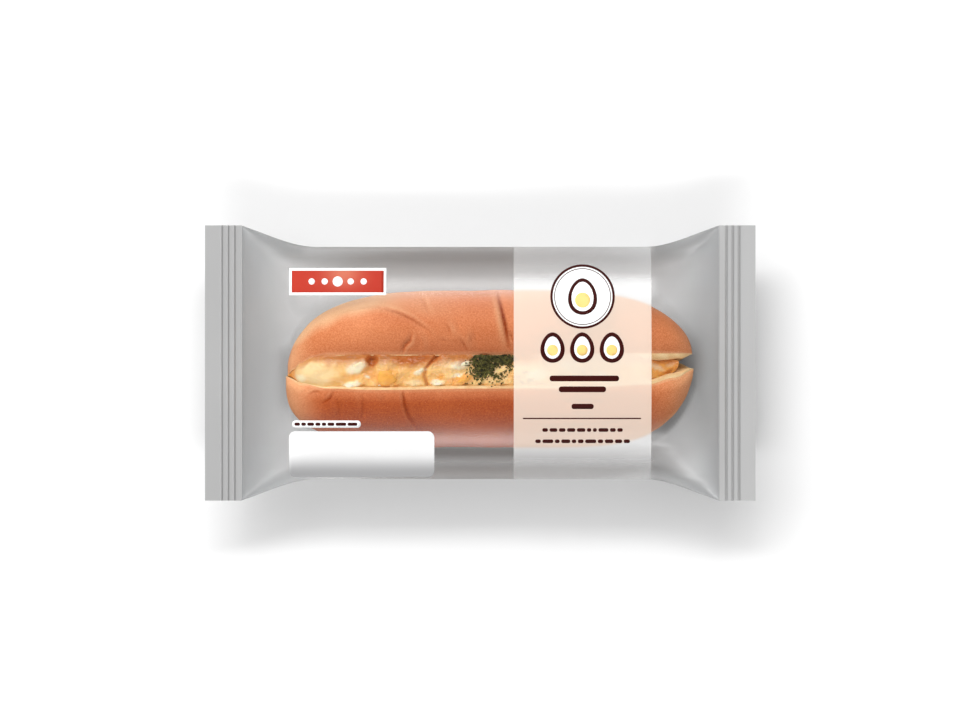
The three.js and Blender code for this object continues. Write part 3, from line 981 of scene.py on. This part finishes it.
def shadeUnderLip(x, gap):
    look = lipShade
    reach = mix(*look["reach"], smoothStep(*look["reachAlong"], x))
    ragged = look["raggedness"] * noise.noise(Vector((x * 0.3, 2.2, 0)))
    left = mix(look["leftShare"], 1, smoothStep(*look["leftAlong"], x))
    right = mix(1, look["rightShare"], smoothStep(*look["rightAlong"], x))
    return look["tone"] * smoothStep(reach, look["full"], gap + ragged) * left * right


def fillingMesh():
    bm = bmesh.new()
    bmesh.ops.create_grid(bm, x_segments=filling["steps"][0], y_segments=filling["steps"][1], size=0.5)
    warm, tan, white = addLayers(bm, "warmth", "shade", "white")
    topShare, sideShare = filling["topShare"], filling["sideShare"]
    for v in bm.verts:
        u, w = v.co.x + 0.5, v.co.y + 0.5
        x = mix(filling["left"], filling["right"], u)
        opening = smoothStep(*filling["opening"], x)
        hinge = (through(upperLobe["hinge"], x) + through(lowerLobe["hinge"], x)) / 2
        ends = math.sqrt(max(1 - abs(2 * u - 1) ** filling["endPowers"][u >= 0.5], 0))
        low, high = (
            mix(hinge, through(lobe["lip"], x) + past + more * opening, ends)
            for lobe, past, more in zip((lowerLobe, upperLobe), filling["lips"], filling["openLips"])
        )
        floorZ = roll["centreZ"] - filling["floorDepth"] * lobeFrame(round(x, 3), True)[4]
        if w < topShare:
            y = mix(low, high, w / topShare)
            z = fillHeight(x, y)
        elif w < topShare + sideShare:
            t = (w - topShare) / sideShare
            y = mix(high, hinge, t)
            z = mix(fillHeight(x, high), floorZ, t)
        else:
            t = (w - topShare - sideShare) / sideShare
            y = mix(hinge, low, t)
            z = mix(floorZ, fillHeight(x, low), t)
        v.co = Vector((x, y, z))
        pocket = smoothStep(*filling["pocket"], x + noseAt(y))
        v[warm] = clamp(softSpots(warmth, x, y, filling["warmEdge"]) + pocket)
        v[white] = clamp(softSpots(whiteness, x, y, filling["whiteEdge"]))
        under = shadeUnderLip(x, high - y)
        # Painted shade: in hollows, along the crack and under the upper lip.
        v[tan] = clamp(softSpots(tanShade, x, y) + crack["tone"] * crackAt(x, y) + under)
    bmesh.ops.remove_doubles(bm, verts=bm.verts, dist=1e-3)
    bmesh.ops.recalc_face_normals(bm, faces=bm.faces)
    return bm


fillMesh = fillingMesh()


# Chopped pieces of white and yolk
chopped = dict(
    squareness=3.4, reach=0.86,  # of the lump before it is cut
    cutReach=(0.55, 0.8), cutDepth=0.85,
    swell=(0.26, 1.3), grit=(0.06, 4),  # as height and scale
    tallShare=0.8, tallest=3.4, tilt=10, cuts=3,
    whiteSunk=0.32, yolkSunk=0.3,  # shares of a piece's own height
    # Small pieces that lie at random under the panel.
    strays=9, strayAlong=(14, 78), strayMargins=(1.0, 0.6), straySizes=(0.9, 1.8), strayLengths=(0.8, 1.6),
    strayHeight=0.6, straySunk=0.5, strayTilt=0.4,
)


# A blocky lump with a few flat cuts.
def chunk(draw, size, cuts, detail=4):
    bm = bmesh.new()
    bmesh.ops.create_icosphere(bm, subdivisions=detail, radius=1.0)
    planes = []
    for _ in range(cuts):
        axis = Vector((draw.gauss(0, 1), draw.gauss(0, 1), draw.gauss(0, 0.5))).normalized()
        planes.append((axis, draw.uniform(*chopped["cutReach"])))
    seed = Vector((draw.uniform(0, 50), draw.uniform(0, 50), draw.uniform(0, 50)))
    power = chopped["squareness"]
    (swell, swellScale), (grit, gritScale) = chopped["swell"], chopped["grit"]
    for v in bm.verts:
        v.co *= chopped["reach"] / sum(abs(c) ** power for c in v.co) ** (1 / power)
        v.co *= 1 + swell * noise.noise(v.co * swellScale + seed)
        for axis, reach in planes:
            over = v.co.dot(axis) - reach
            if over > 0:
                v.co -= axis * over * chopped["cutDepth"]
        v.co *= 1 + grit * noise.noise(v.co * gritScale + seed)
    bmesh.ops.scale(bm, vec=size, verts=bm.verts)
    return bm


def placeChunk(target, bm, x, y, z, turn, tilt):
    spin = Matrix.Rotation(turn, 4, "Z") @ Matrix.Rotation(tilt, 4, "X")
    bmesh.ops.transform(bm, matrix=Matrix.Translation((x, y, z)) @ spin, verts=bm.verts)
    joinInto(target, bm)


# The pieces that stand out most, as (x, y, length, width, turn in degrees).
whitePieces = [
    (-50.6, -1.2, 7.4, 3.6, 27), (-53.8, -9.3, 5.0, 2.0, 9), (-46.9, -5.8, 1.8, 1.3, 0),
    (-25.0, -3.2, 4.8, 1.5, 24), (-17.9, -8.6, 4.2, 2.0, 5), (-7.4, -0.3, 6.8, 2.6, 14),
    (-9.6, -5.2, 3.8, 1.1, 8), (-41.6, -9.2, 2.2, 0.9, 0),
    (23.0, -4.5, 8.0, 4.6, 20), (36.0, -1.0, 6.0, 4.0, -25),
    (50.0, -5.5, 7.0, 4.0, 12),
]
yolkPieces = [
    (-38.8, -6.3, 8.4, 7.0, 8), (-7.0, -7.0, 6.0, 2.2, 14), (-16.2, -5.8, 2.2, 1.5, 0),
    (29.0, -7.0, 7.0, 4.4, 0), (43.0, 0.6, 6.0, 4.6, 35), (60.0, -3.5, 7.6, 5.6, 10),
    (69.0, -4.4, 5.0, 3.0, 12),
]


def chunkMeshes():
    draw = random.Random(filling["seed"])
    whites, yolks = bmesh.new(), bmesh.new()
    kinds = ((whites, whitePieces, chopped["whiteSunk"]), (yolks, yolkPieces, chopped["yolkSunk"]))
    for target, pieces, sunk in kinds:
        for x, y, length, width, turn in pieces:
            tall = min(chopped["tallShare"] * width, chopped["tallest"])
            bm = chunk(draw, (length / 2, width / 2, tall / 2), chopped["cuts"])
            lift = fillHeight(x, y) - sunk * tall
            tilt = draw.uniform(-chopped["tilt"], chopped["tilt"])
            placeChunk(target, bm, x, y, lift, math.radians(turn), math.radians(tilt))
    lowMargin, highMargin = chopped["strayMargins"]
    for _ in range(chopped["strays"]):
        x = draw.uniform(*chopped["strayAlong"])
        low, high = through(lowerLobe["lip"], x), through(upperLobe["lip"], x)
        y = draw.uniform(low + lowMargin, high - highMargin)
        size = draw.uniform(*chopped["straySizes"])
        length = size * draw.uniform(*chopped["strayLengths"])
        bm = chunk(draw, (length, size, size * chopped["strayHeight"]), chopped["cuts"], 2)
        target = whites if draw.random() < 0.5 else yolks
        lift = fillHeight(x, y) - chopped["straySunk"] * size
        turn, tilt = draw.uniform(0, 6.3), draw.uniform(-chopped["strayTilt"], chopped["strayTilt"])
        placeChunk(target, bm, x, y, lift, turn, tilt)
    return whites, yolks


whiteMesh, yolkMesh = chunkMeshes()


# Dried parsley: a dense heap that thins out towards the lower lip
parsley = dict(
    seed=5, heap=900, loose=150, thickness=0.06,
    heapSizes=(0.22, 0.62), looseSizes=(0.15, 0.42), farSizes=(0.35, 0.6),
    # Heaps as (x, y, reach along, reach across, share of the flakes).
    heaps=[(2.0, -0.3, 6.2, 5.2, 0.74), (9.6, 1.6, 4.8, 2.4, 0.26)],
    spreading=0.6,               # the lower it is, the further out the flakes lie
    edgeSpread=0.2, raggedness=0.5, heapHigh=1.4,
    lipAt=3.2,                   # where the upper lip cuts the heap off
    # Loose flakes lie round the heap's lower edge, and one in eight falls at a speck.
    looseMiddle=(3.5, -0.8), looseReach=(7.5, 4.6), looseSpread=1.4, speckEvery=8, speckSpread=(0.35, 0.25),
    specks=[(-5.6, -8.7), (-3.2, -8.4), (-0.4, -8.6), (0.2, -8.3), (4.4, -8.5), (9.2, -8.6), (-6.2, -4.4)],
    # Larger flakes that show through the panel, so many at each place.
    farCount=4, farSpread=(0.4, 0.3),
    far=[(18.9, -4.0), (15.3, -5.8), (16.9, -7.9), (21.4, -7.1), (20.2, -7.3)],
)
# A flake's unevenness, as shares of its size, its lean in radians, and its height over what it lies on.
flake = dict(ragged=0.25, widths=(0.5, 0.8), skew=0.2, crumple=0.4, lean=0.7, lift=0.25)


def treeOf(*meshes):
    joined = bmesh.new()
    for bm in meshes:
        copyInto(joined, bm)
    tree = BVHTree.FromBMesh(joined)
    joined.free()
    return tree


# One crumpled flake, lying where a place of the plan meets what is under it.
def layFlake(draw, tree, target, x, y, lift, sizes):
    def either(amount):
        return draw.uniform(-amount, amount)
    hit = tree.ray_cast(Vector((x, y, 60)), Vector((0, 0, -1)))
    if hit[0] is None:
        return
    size = draw.uniform(*sizes)
    bm = bmesh.new()
    bmesh.ops.create_grid(bm, x_segments=2, y_segments=2, size=size)
    for v in bm.verts:
        v.co.x += either(flake["ragged"]) * size
        v.co.y = v.co.y * draw.uniform(*flake["widths"]) + either(flake["skew"]) * size
        v.co.z += either(flake["crumple"]) * size
    lean = Matrix.Rotation(either(flake["lean"]), 4, "X") @ Matrix.Rotation(either(flake["lean"]), 4, "Y")
    turn = Matrix.Rotation(draw.uniform(0, 6.3), 4, "Z")
    spot = Matrix.Translation(hit[0] + Vector((0, 0, flake["lift"] + lift)))
    bmesh.ops.transform(bm, matrix=spot @ turn @ lean, verts=bm.verts)
    joinInto(target, bm)


def parsleyMesh():
    draw = random.Random(parsley["seed"])
    (midX, midY), (reachX, reachY) = parsley["looseMiddle"], parsley["looseReach"]
    (speckAlong, speckAcross), (farAlong, farAcross) = parsley["speckSpread"], parsley["farSpread"]
    tree = treeOf(fillMesh, whiteMesh, yolkMesh, lowerMesh)
    target = bmesh.new()
    for i in range(parsley["heap"] + parsley["loose"]):
        if i < parsley["heap"]:
            heapX, heapY, along, across, _ = parsley["heaps"][draw.random() > parsley["heaps"][0][4]]
            out = draw.random() ** parsley["spreading"] * max(draw.gauss(1, parsley["edgeSpread"]), 0.3)
            turn = draw.uniform(0, 2 * math.pi)
            wave = noise.noise(Vector((2.2 * math.cos(turn), 2.2 * math.sin(turn), 0.4)))
            ragged = 1 + parsley["raggedness"] * wave
            x = heapX + along * out * ragged * math.cos(turn)
            y = heapY + across * out * ragged * math.sin(turn)
            y = min(y, 2 * parsley["lipAt"] - y)
            lift = draw.uniform(0, parsley["heapHigh"]) * max(1 - out, 0)
        elif i % parsley["speckEvery"] == 0:
            speckX, speckY = draw.choice(parsley["specks"])
            x, y, lift = draw.gauss(speckX, speckAlong), draw.gauss(speckY, speckAcross), 0.0
        else:
            turn, out = draw.uniform(math.pi, 2 * math.pi), abs(draw.gauss(0, parsley["looseSpread"]))
            x = midX + (reachX + out) * math.cos(turn)
            y, lift = midY + (reachY + out) * math.sin(turn), 0.0
        sizes = parsley["heapSizes" if i < parsley["heap"] else "looseSizes"]
        layFlake(draw, tree, target, x, y, lift, sizes)
    for speckX, speckY in parsley["far"]:
        for _ in range(parsley["farCount"]):
            x, y = draw.gauss(speckX, farAlong), draw.gauss(speckY, farAcross)
            layFlake(draw, tree, target, x, y, 0.0, parsley["farSizes"])
    return target


parsleyBm = parsleyMesh()  # before the meshes that it lies on are used up
addPiece("rollUpper", upperMesh, [crustMat, crumbMat], "crust")
addPiece("rollLower", lowerMesh, [crustMat, crumbMat], "crust")
addPiece("eggDressing", fillMesh, [dressingMat], "egg_salad")
addPiece("eggWhite", whiteMesh, [whiteMat], "egg_salad")
addPiece("eggYolk", yolkMesh, [yolkMat], "egg_salad")
addPiece("parsley", parsleyBm, [parsleyMat], "parsley", thickness=parsley["thickness"], smooth=False)
print("roll and filling ready")


# The grey film behind the roll, with painted shade, and the clear film that is tinted a little outside the
# roll's outline, partly as painted light
def outsideRoll(x, y):
    inner = clamp(x, roll["left"] + 1, roll["right"] - 1)
    low, high = lobeFrame(round(inner, 3), False)[0], lobeFrame(round(inner, 3), True)[0]
    return math.hypot(x - inner, max(low - y, y - high, 0))


# Where shade is painted on the back film: darker at its shoulders, edges and upper left corner, with a
# painted shadow beside the roll's ends. A range gives where a tone begins and where it is full.
backShade = dict(
    sideTurn=(10, -10),          # along y, from the upper side's tone to the lower side's
    rightShoulder=((72, 98), (80, 101)), leftShoulder=(-70, -97), shoulderTone=0.9,
    side=(38, 46), sideTones=(0.15, 0.72),
    rim=(0.78, 0.96), rimAlong=(62, 76), rimTone=0.85,
    corner=(-76, 27), cornerReach=(9, 8), cornerTone=0.45,
    # A painted shadow of the roll's ends lies on the film beside them.
    endShift=(1.8, -2.4), endReach=2.4,
    rightEnd=(60, 68), rightEndLow=(16, 4), rightTone=0.72, leftEnd=(-70, -82), leftTone=0.4,
)


def backPaintedShade(x, y):
    look = backShade
    upperRange, lowerRange = look["rightShoulder"]
    turned = smoothStep(*look["sideTurn"], y)
    start, full = (mix(a, b, turned) for a, b in zip(upperRange, lowerRange))
    shoulders = smoothStep(start, full, x) + smoothStep(*look["leftShoulder"], x)
    rim = smoothStep(*look["rim"], abs(y) / halfWidthAt(x)) * smoothStep(*look["rimAlong"], abs(x))
    (cornerX, cornerY), (reachX, reachY) = look["corner"], look["cornerReach"]
    corner = math.exp(-((x - cornerX) / reachX) ** 2 - ((y - cornerY) / reachY) ** 2)
    shiftX, shiftY = look["endShift"]
    beside = smoothStep(look["endReach"], 0, outsideRoll(x - shiftX, y - shiftY))
    beside *= max(
        look["rightTone"] * smoothStep(*look["rightEnd"], x) * smoothStep(*look["rightEndLow"], y),
        look["leftTone"] * smoothStep(*look["leftEnd"], x))
    return max(
        look["shoulderTone"] * shoulders,
        look["sideTones"][y > 0] * smoothStep(*look["side"], abs(y)),
        look["rimTone"] * rim,
        look["cornerTone"] * corner,
        beside)


backSheet = filmSheet(2 * math.pi, math.pi)
paintedShade, = addLayers(backSheet, "paintedShade")
for v in backSheet.verts:
    v[paintedShade] = backPaintedShade(v.co.x, v.co.y)
backFilm = addPiece("backFilm", backSheet, [greyMat, insideMat], "film", thickness=bag["filmDepth"])
backFilm.modifiers["wall"].material_offset = 1

# Where the front film is dull, and where a grey veil lies in it: partly a tint of the film and partly painted
# light on the shaded film beside the roll.
frontShade = dict(
    left=(-68, -86), leftDull=0.85, right=(74, 92), rightDull=0.6,
    upperRight=(70, 75), upperRightDull=0.78, upperSide=(0, 12),
    veil=0.18, veilReach=(0, 7),  # in millimetres outside the roll
    edge=(40, 47), edgeAlong=(90, 70), edgeClearing=0.75,
    # Painted light: a pale band along the lower edge, and a pale patch below the roll's right end.
    band=0.15, bandPlace=-41.4, bandWidth=2.6, bandAlong=(80, 66),
    glow=0.06, glowReach=(3, 9), glowHigh=(-20, -30), glowLow=(-46, -39),
    glowLeft=(66, 74), glowRight=(96, 84),
)


def frontTones(x, y):
    look = frontShade
    lowerRight = look["rightDull"] * smoothStep(*look["right"], x)
    upperRight = look["upperRightDull"] * smoothStep(*look["upperRight"], x)
    dulled = look["leftDull"] * smoothStep(*look["left"], x)
    dulled += mix(lowerRight, upperRight, smoothStep(*look["upperSide"], y))
    gap = outsideRoll(x, y)
    edge = smoothStep(*look["edge"], abs(y)) * smoothStep(*look["edgeAlong"], abs(x))
    veiled = look["veil"] * smoothStep(*look["veilReach"], gap) * (1 - look["edgeClearing"] * edge)
    band = math.exp(-((y - look["bandPlace"]) / look["bandWidth"]) ** 2)
    veiled += look["band"] * band * smoothStep(*look["bandAlong"], abs(x))
    glow = look["glow"] * smoothStep(*look["glowReach"], gap)
    glow *= smoothStep(*look["glowHigh"], y) * smoothStep(*look["glowLow"], y)
    glow *= smoothStep(*look["glowLeft"], x) * smoothStep(*look["glowRight"], x)
    return dulled, veiled + glow


frontSheet = filmSheet(math.pi, 0)
veil, dull = addLayers(frontSheet, "veil", "dull")
for v in frontSheet.verts:
    v[dull], v[veil] = frontTones(v.co.x, v.co.y)
addPiece("frontFilm", frontSheet, [clearMat], "film", thickness=bag["filmDepth"])

# The print lies on the front film, in layers
layer = dict(top=-0.12, front=-0.09, middle=-0.06, back=-0.03, depth=0.02)

# Each ink, and the name of its slot.
inks = dict(
    brown=(brownInk, "ink_brown"),
    red=(redInk, "ink_red"),
    white=(whiteInk, "print_white"),
    label=(labelInk, "print_white"),
    cream=(creamInk, "print_cream"),
)


def boxShape(left, right, top, bottom, radius):
    bm = bmesh.new()
    bmesh.ops.create_grid(bm, x_segments=1, y_segments=1, size=0.5)
    bmesh.ops.scale(bm, vec=(right - left, top - bottom, 1), verts=bm.verts)
    bmesh.ops.translate(bm, vec=((left + right) / 2, (top + bottom) / 2, 0), verts=bm.verts)
    bmesh.ops.bevel(bm, geom=bm.verts[:], offset=radius, offset_type="OFFSET", affect="VERTICES",
                    segments=6, profile=0.5, material=-1)
    return bm


# The radius of a bar's corners and the gap between dashes, as shares of the height.
barLook = dict(radius=0.45, gap=0.45, dashes=(1.6, 4.6))


def barShape(left, right, y, height):
    return boxShape(left, right, y + height / 2, y - height / 2, height * barLook["radius"])


def ovalShape(x, y, width, height, hole=0.0, taper=0.0):
    bm = bmesh.new()
    bmesh.ops.create_circle(bm, cap_ends=not hole, segments=72, radius=0.5)
    bmesh.ops.scale(bm, vec=(width, height, 1), verts=bm.verts)
    if hole:
        outer = bm.verts[:]
        bmesh.ops.create_circle(bm, cap_ends=False, segments=72, radius=0.5)
        inner = [v for v in bm.verts if v not in outer]
        bmesh.ops.scale(bm, vec=(width - 2 * hole, height - 2 * hole, 1), verts=inner)
        bmesh.ops.bridge_loops(bm, edges=bm.edges[:])
    # An egg is narrower at its top.
    for v in bm.verts:
        v.co.x *= 1 - taper * 2 * v.co.y / height
    bmesh.ops.translate(bm, vec=(x, y, 0), verts=bm.verts)
    return bm


# Cuts a flat shape into small cells and lays it on the front film.
def drape(bm, inset):
    def cut(place, direction):
        everything = bm.verts[:] + bm.edges[:] + bm.faces[:]
        bmesh.ops.bisect_plane(bm, geom=everything, dist=1e-5, plane_co=place, plane_no=direction)
    xs = [v.co.x for v in bm.verts]
    ys = [v.co.y for v in bm.verts]
    step, rows = 1.6, 100        # the cells' length, and their count across the front
    for k in range(math.floor(min(xs) / step) + 1, math.ceil(max(xs) / step)):
        cut((k * step, 0, 0), (1, 0, 0))
    for k in range(1, rows):
        y = bag["bodyHalf"] * math.cos(math.pi * k / rows)
        if min(ys) < y < max(ys):
            cut((0, y, 0), (0, 1, 0))
    for v in bm.verts:
        v.co = filmOver(v.co.x, v.co.y, inset)
    bmesh.ops.recalc_face_normals(bm, faces=bm.faces)
    turnUp(bm)
    return bm


def printPiece(name, node, ink, level, shapes, paintedShadingAt=None):
    target = bmesh.new()
    for bm in shapes:
        joinInto(target, drape(bm, layer[level]))
    if paintedShadingAt:
        fade, = addLayers(target, "fade")
        for v in target.verts:
            v[fade] = paintedShadingAt(v.co.x, v.co.y)
    material, slot = inks[ink]
    addPiece(name, target, [material], slot, (node,), thickness=layer["depth"])


panel = dict(
    left=13.9, right=71.1, steps=(70, 240),
    rollSoftness=0.8, fillingSoftness=0.5,
    # A warm painted shade lies on the filling's first stretch in the upper half.
    shadeReach=(5.5, 1.5), shadeAlong=(32, 19),
    # The ink thins out towards both long edges.
    upperThinning=0.72, upperEdge=(30, 39), lowerThinning=0.65, lowerEdge=(-33, -44),
)


def between(low, high, soft, value):
    return smoothStep(low - soft, low + soft, value) * smoothStep(high + soft, high - soft, value)


# The white ink takes a warm tone where the roll lies behind it, and a lighter one over the filling, save for
# a painted shade under the upper lip.
panelSheet = filmSheet(math.pi, 0, panel["left"], panel["right"], layer["back"], *panel["steps"])
nearRoll, nearFilling, density = addLayers(panelSheet, "nearRoll", "nearFilling", "inkDensity")
for v in panelSheet.verts:
    x, y = v.co.x, v.co.y
    lower, upper = (lobeFrame(round(x, 3), side) for side in (False, True))
    v[nearRoll] = between(lower[0], upper[0], panel["rollSoftness"], y)
    shade = smoothStep(*panel["shadeReach"], upper[1] - y) * smoothStep(*panel["shadeAlong"], x)
    v[nearFilling] = between(lower[1], upper[1], panel["fillingSoftness"], y) * (1 - shade)
    v[density] = 1 - panel["upperThinning"] * smoothStep(*panel["upperEdge"], y)
    v[density] -= panel["lowerThinning"] * smoothStep(*panel["lowerEdge"], y)
addPiece("printPanel", panelSheet, [panelInk], "print_white", ("print_panel",), thickness=layer["depth"])

# Half a boiled egg: a dark rim, the white inside it, and the yolk low in the white.
def eggHalf(names, nodes, x, y, egg):
    width, height, rim, taper = egg["width"], egg["height"], egg["rim"], egg["taper"]
    yolk = 2 * egg["yolk"]
    shapes = (
        ("brown", "front", ovalShape(x, y, width, height, rim, taper)),
        ("white", "middle", ovalShape(x, y, width - rim, height - rim, taper=taper)),
        ("cream", "front", ovalShape(x, y - egg["yolkDrop"], yolk, yolk)),
    )
    for name, node, (ink, level, shape) in zip(names, nodes, shapes):
        printPiece(name, node, ink, level, [shape])


# A row of short dashes of uneven length.
def dashRow(left, right, y, height, seed):
    draw = random.Random(seed)
    shapes = []
    x = left
    while x < right - height:
        end = min(x + draw.uniform(*barLook["dashes"]), right)
        shapes.append(barShape(x, end, y, height))
        x = end + height * barLook["gap"]
    return shapes


def ringShape(width, thickness):
    return ovalShape(emblem["x"], emblem["y"], width, width, thickness)


emblem = dict(x=42.5, y=27.6, width=26.8, ring=1.0, innerRing=0.35, innerGap=0.6)
innerWidth = emblem["width"] - 2 * (emblem["ring"] + emblem["innerGap"])
printPiece("emblemDisc", "emblem_disc", "white", "middle", [ringShape(emblem["width"], 0)])
printPiece("emblemRings", "emblem_ring", "brown", "front",
           [ringShape(emblem["width"], emblem["ring"]), ringShape(innerWidth, emblem["innerRing"])])

bigEgg = dict(width=12.0, height=15.2, rim=1.5, taper=0.15, yolk=3.2, yolkDrop=1.5)
smallEgg = dict(width=10.0, height=12.6, rim=1.7, taper=0.15, yolk=2.3, yolkDrop=1.1)
smallEggs = dict(places=(30.0, 42.3, 54.6), y=6.4)
eggHalf(("emblemEgg", "emblemWhite", "emblemYolk"), ("emblem_egg", "emblem_white", "emblem_yolk"),
        emblem["x"], emblem["y"], bigEgg)
for i, x in enumerate(smallEggs["places"], 1):
    eggHalf((f"sliceRim{i}", f"sliceWhite{i}", f"sliceYolk{i}"),
            (f"slice_rim_{i}", f"slice_white_{i}", f"slice_yolk_{i}"), x, smallEggs["y"], smallEgg)

# Bars as (left, right, y, height), and rows of dashes with a seed after those.
bars = [(28.8, 57.6, -6.4, 2.4), (32.6, 52.2, -10.9, 2.4), (37.9, 47.1, -18.0, 2.2)]
rows = [(25.8, 59.2, -27.8, 1.5, 3), (22.9, 62.2, -32.5, 1.5, 8)]
rule = (17.7, 66.8, -23.0, 0.55)
for i, bar in enumerate(bars, 1):
    printPiece(f"bar{i}", f"bar_{i}", "brown", "front", [barShape(*bar)])
for i, row in enumerate(rows, 1):
    printPiece(f"smallRow{i}", f"bar_{len(bars) + i}", "brown", "front", dashRow(*row))
printPiece("ruleLine", "rule", "brown", "front", [barShape(*rule)])

plate = dict(
    left=-79.5, right=-39.0, top=39.5, bottom=28.2, border=1.1,
    corners=(0.3, 0.2),          # of the border and the field
    dotPitch=5.4, dotSize=2.6, middleDot=4.2,
    # A painted highlight, a streak of light, pales the field's upper side.
    fade=0.75, fadePlace=-57, fadeWidth=7, fadeRise=(28, 38),
)


def plateShape(inset, corner):
    return boxShape(plate["left"] + inset, plate["right"] - inset,
                    plate["top"] - inset, plate["bottom"] + inset, corner)


def platePaintedHighlight(x, y):
    streak = math.exp(-((x - plate["fadePlace"]) / plate["fadeWidth"]) ** 2)
    return plate["fade"] * streak * smoothStep(*plate["fadeRise"], y)


plateX, plateY = (plate["left"] + plate["right"]) / 2, (plate["top"] + plate["bottom"]) / 2
dots = []
for k in range(-2, 3):
    size = plate["dotSize"] if k else plate["middleDot"]
    dots.append(ovalShape(plateX + k * plate["dotPitch"], plateY, size, size))
borderCorner, fieldCorner = plate["corners"]
printPiece("plateBorder", "plate_border", "white", "middle", [plateShape(0, borderCorner)])
printPiece("plateField", "plate_field", "red", "front", [plateShape(plate["border"], fieldCorner)], platePaintedHighlight)
printPiece("plateDots", "plate_field", "white", "top", dots)

# The label is painted darker towards its lower edge, as painted shade.
label = dict(left=-79.5, right=-19.1, top=-28.4, bottom=-47.6, corner=2.6, fade=(-37, -46.5))
labelShape = boxShape(label["left"], label["right"], label["top"], label["bottom"], label["corner"])
printPiece("blankLabel", "blank_label", "label", "middle", [labelShape],
           lambda x, y: smoothStep(*label["fade"], y))

note = dict(left=-78.2, right=-49.6, y=-25.4, height=3.0, inset=1.0, marks=1.3, seed=4)
printPiece("noteBacking", "note_strip", "white", "middle",
           [barShape(note["left"], note["right"], note["y"], note["height"])])
printPiece("noteMarks", "note_strip", "brown", "front",
           dashRow(note["left"] + note["inset"], note["right"] - note["inset"],
                   note["y"], note["marks"], note["seed"]))
print("print ready")


# Floor, lights and camera
studio = dict(floor=4, lampDistance=2.2, aimHeight=0.02, skyLight=0.24)  # in metres
floorLook = dict(
    tones=((0.9, 0.9, 0.9, 1), (0.93, 0.93, 0.93, 1)), mottle=dict(scale=6, contrast=1.0, speckle=0.05),
    roughness=0.7, specular=0.1,
)
floorMesh = bmesh.new()
bmesh.ops.create_grid(floorMesh, x_segments=1, y_segments=1, size=studio["floor"])
floorData = bpy.data.meshes.new("floor")
floorMesh.to_mesh(floorData)
floorMesh.free()
floorData.materials.append(simpleMaterial("floor", floorLook)[0])
floor = bpy.data.objects.new("floor", floorData)
bpy.context.scene.collection.objects.link(floor)

# Lamps as their name, direction, size, power and whether the film mirrors them.
lights = [
    ("upperStrip", (-0.06, 0.73, 0.67), (2.6, 0.46), 32.5, True),
    ("lowerStrip", (0.0, -0.73, 0.67), (2.6, 0.32), 22, True),
    ("upperFill", (-0.3, 0.73, 0.67), (2.0, 0.8), 10, False),
    ("lowerFill", (0.0, -0.73, 0.67), (2.0, 0.8), 6, False),
    ("leftFill", (-0.78, 0.42, 0.46), (1.6, 1.6), 25, False),
    ("rightFill", (0.72, -0.5, 0.48), (1.6, 1.6), 2, False),
]
for name, direction, size, power, mirrored in lights:
    data = bpy.data.lights.new(name, "AREA")
    data.shape = "RECTANGLE"
    data.size, data.size_y = size
    data.energy = power
    lamp = bpy.data.objects.new(name, data)
    aim = Vector(direction).normalized()
    lamp.location = aim * studio["lampDistance"] + Vector((0, 0, studio["aimHeight"]))
    lamp.rotation_euler = aim.to_track_quat("Z", "Y").to_euler()
    lamp.visible_glossy = mirrored
    bpy.context.scene.collection.objects.link(lamp)

world = bpy.data.worlds.new("studio")
world.use_nodes = True
sky = world.node_tree.nodes["Background"].inputs
sky["Color"].default_value = (1, 1, 1, 1)
sky["Strength"].default_value = studio["skyLight"]
world.cycles_visibility.glossy = False
bpy.context.scene.world = world

view = dict(lens=300.0, sensor=36.0, across=401.1, centre=(-0.1, 1.25), farthest=20)
camera = bpy.data.objects.new("camera", bpy.data.cameras.new("camera"))
camera.data.lens = view["lens"]
camera.data.sensor_width = view["sensor"]
camera.data.clip_end = view["farthest"]
distance = view["across"] * view["lens"] / view["sensor"]
camera.location = Vector((view["centre"][0], view["centre"][1], sealZ + distance)) * mm
bpy.context.scene.collection.objects.link(camera)
bpy.context.scene.camera = camera
bpy.context.scene.view_settings.view_transform = "Standard"
print("studio ready")
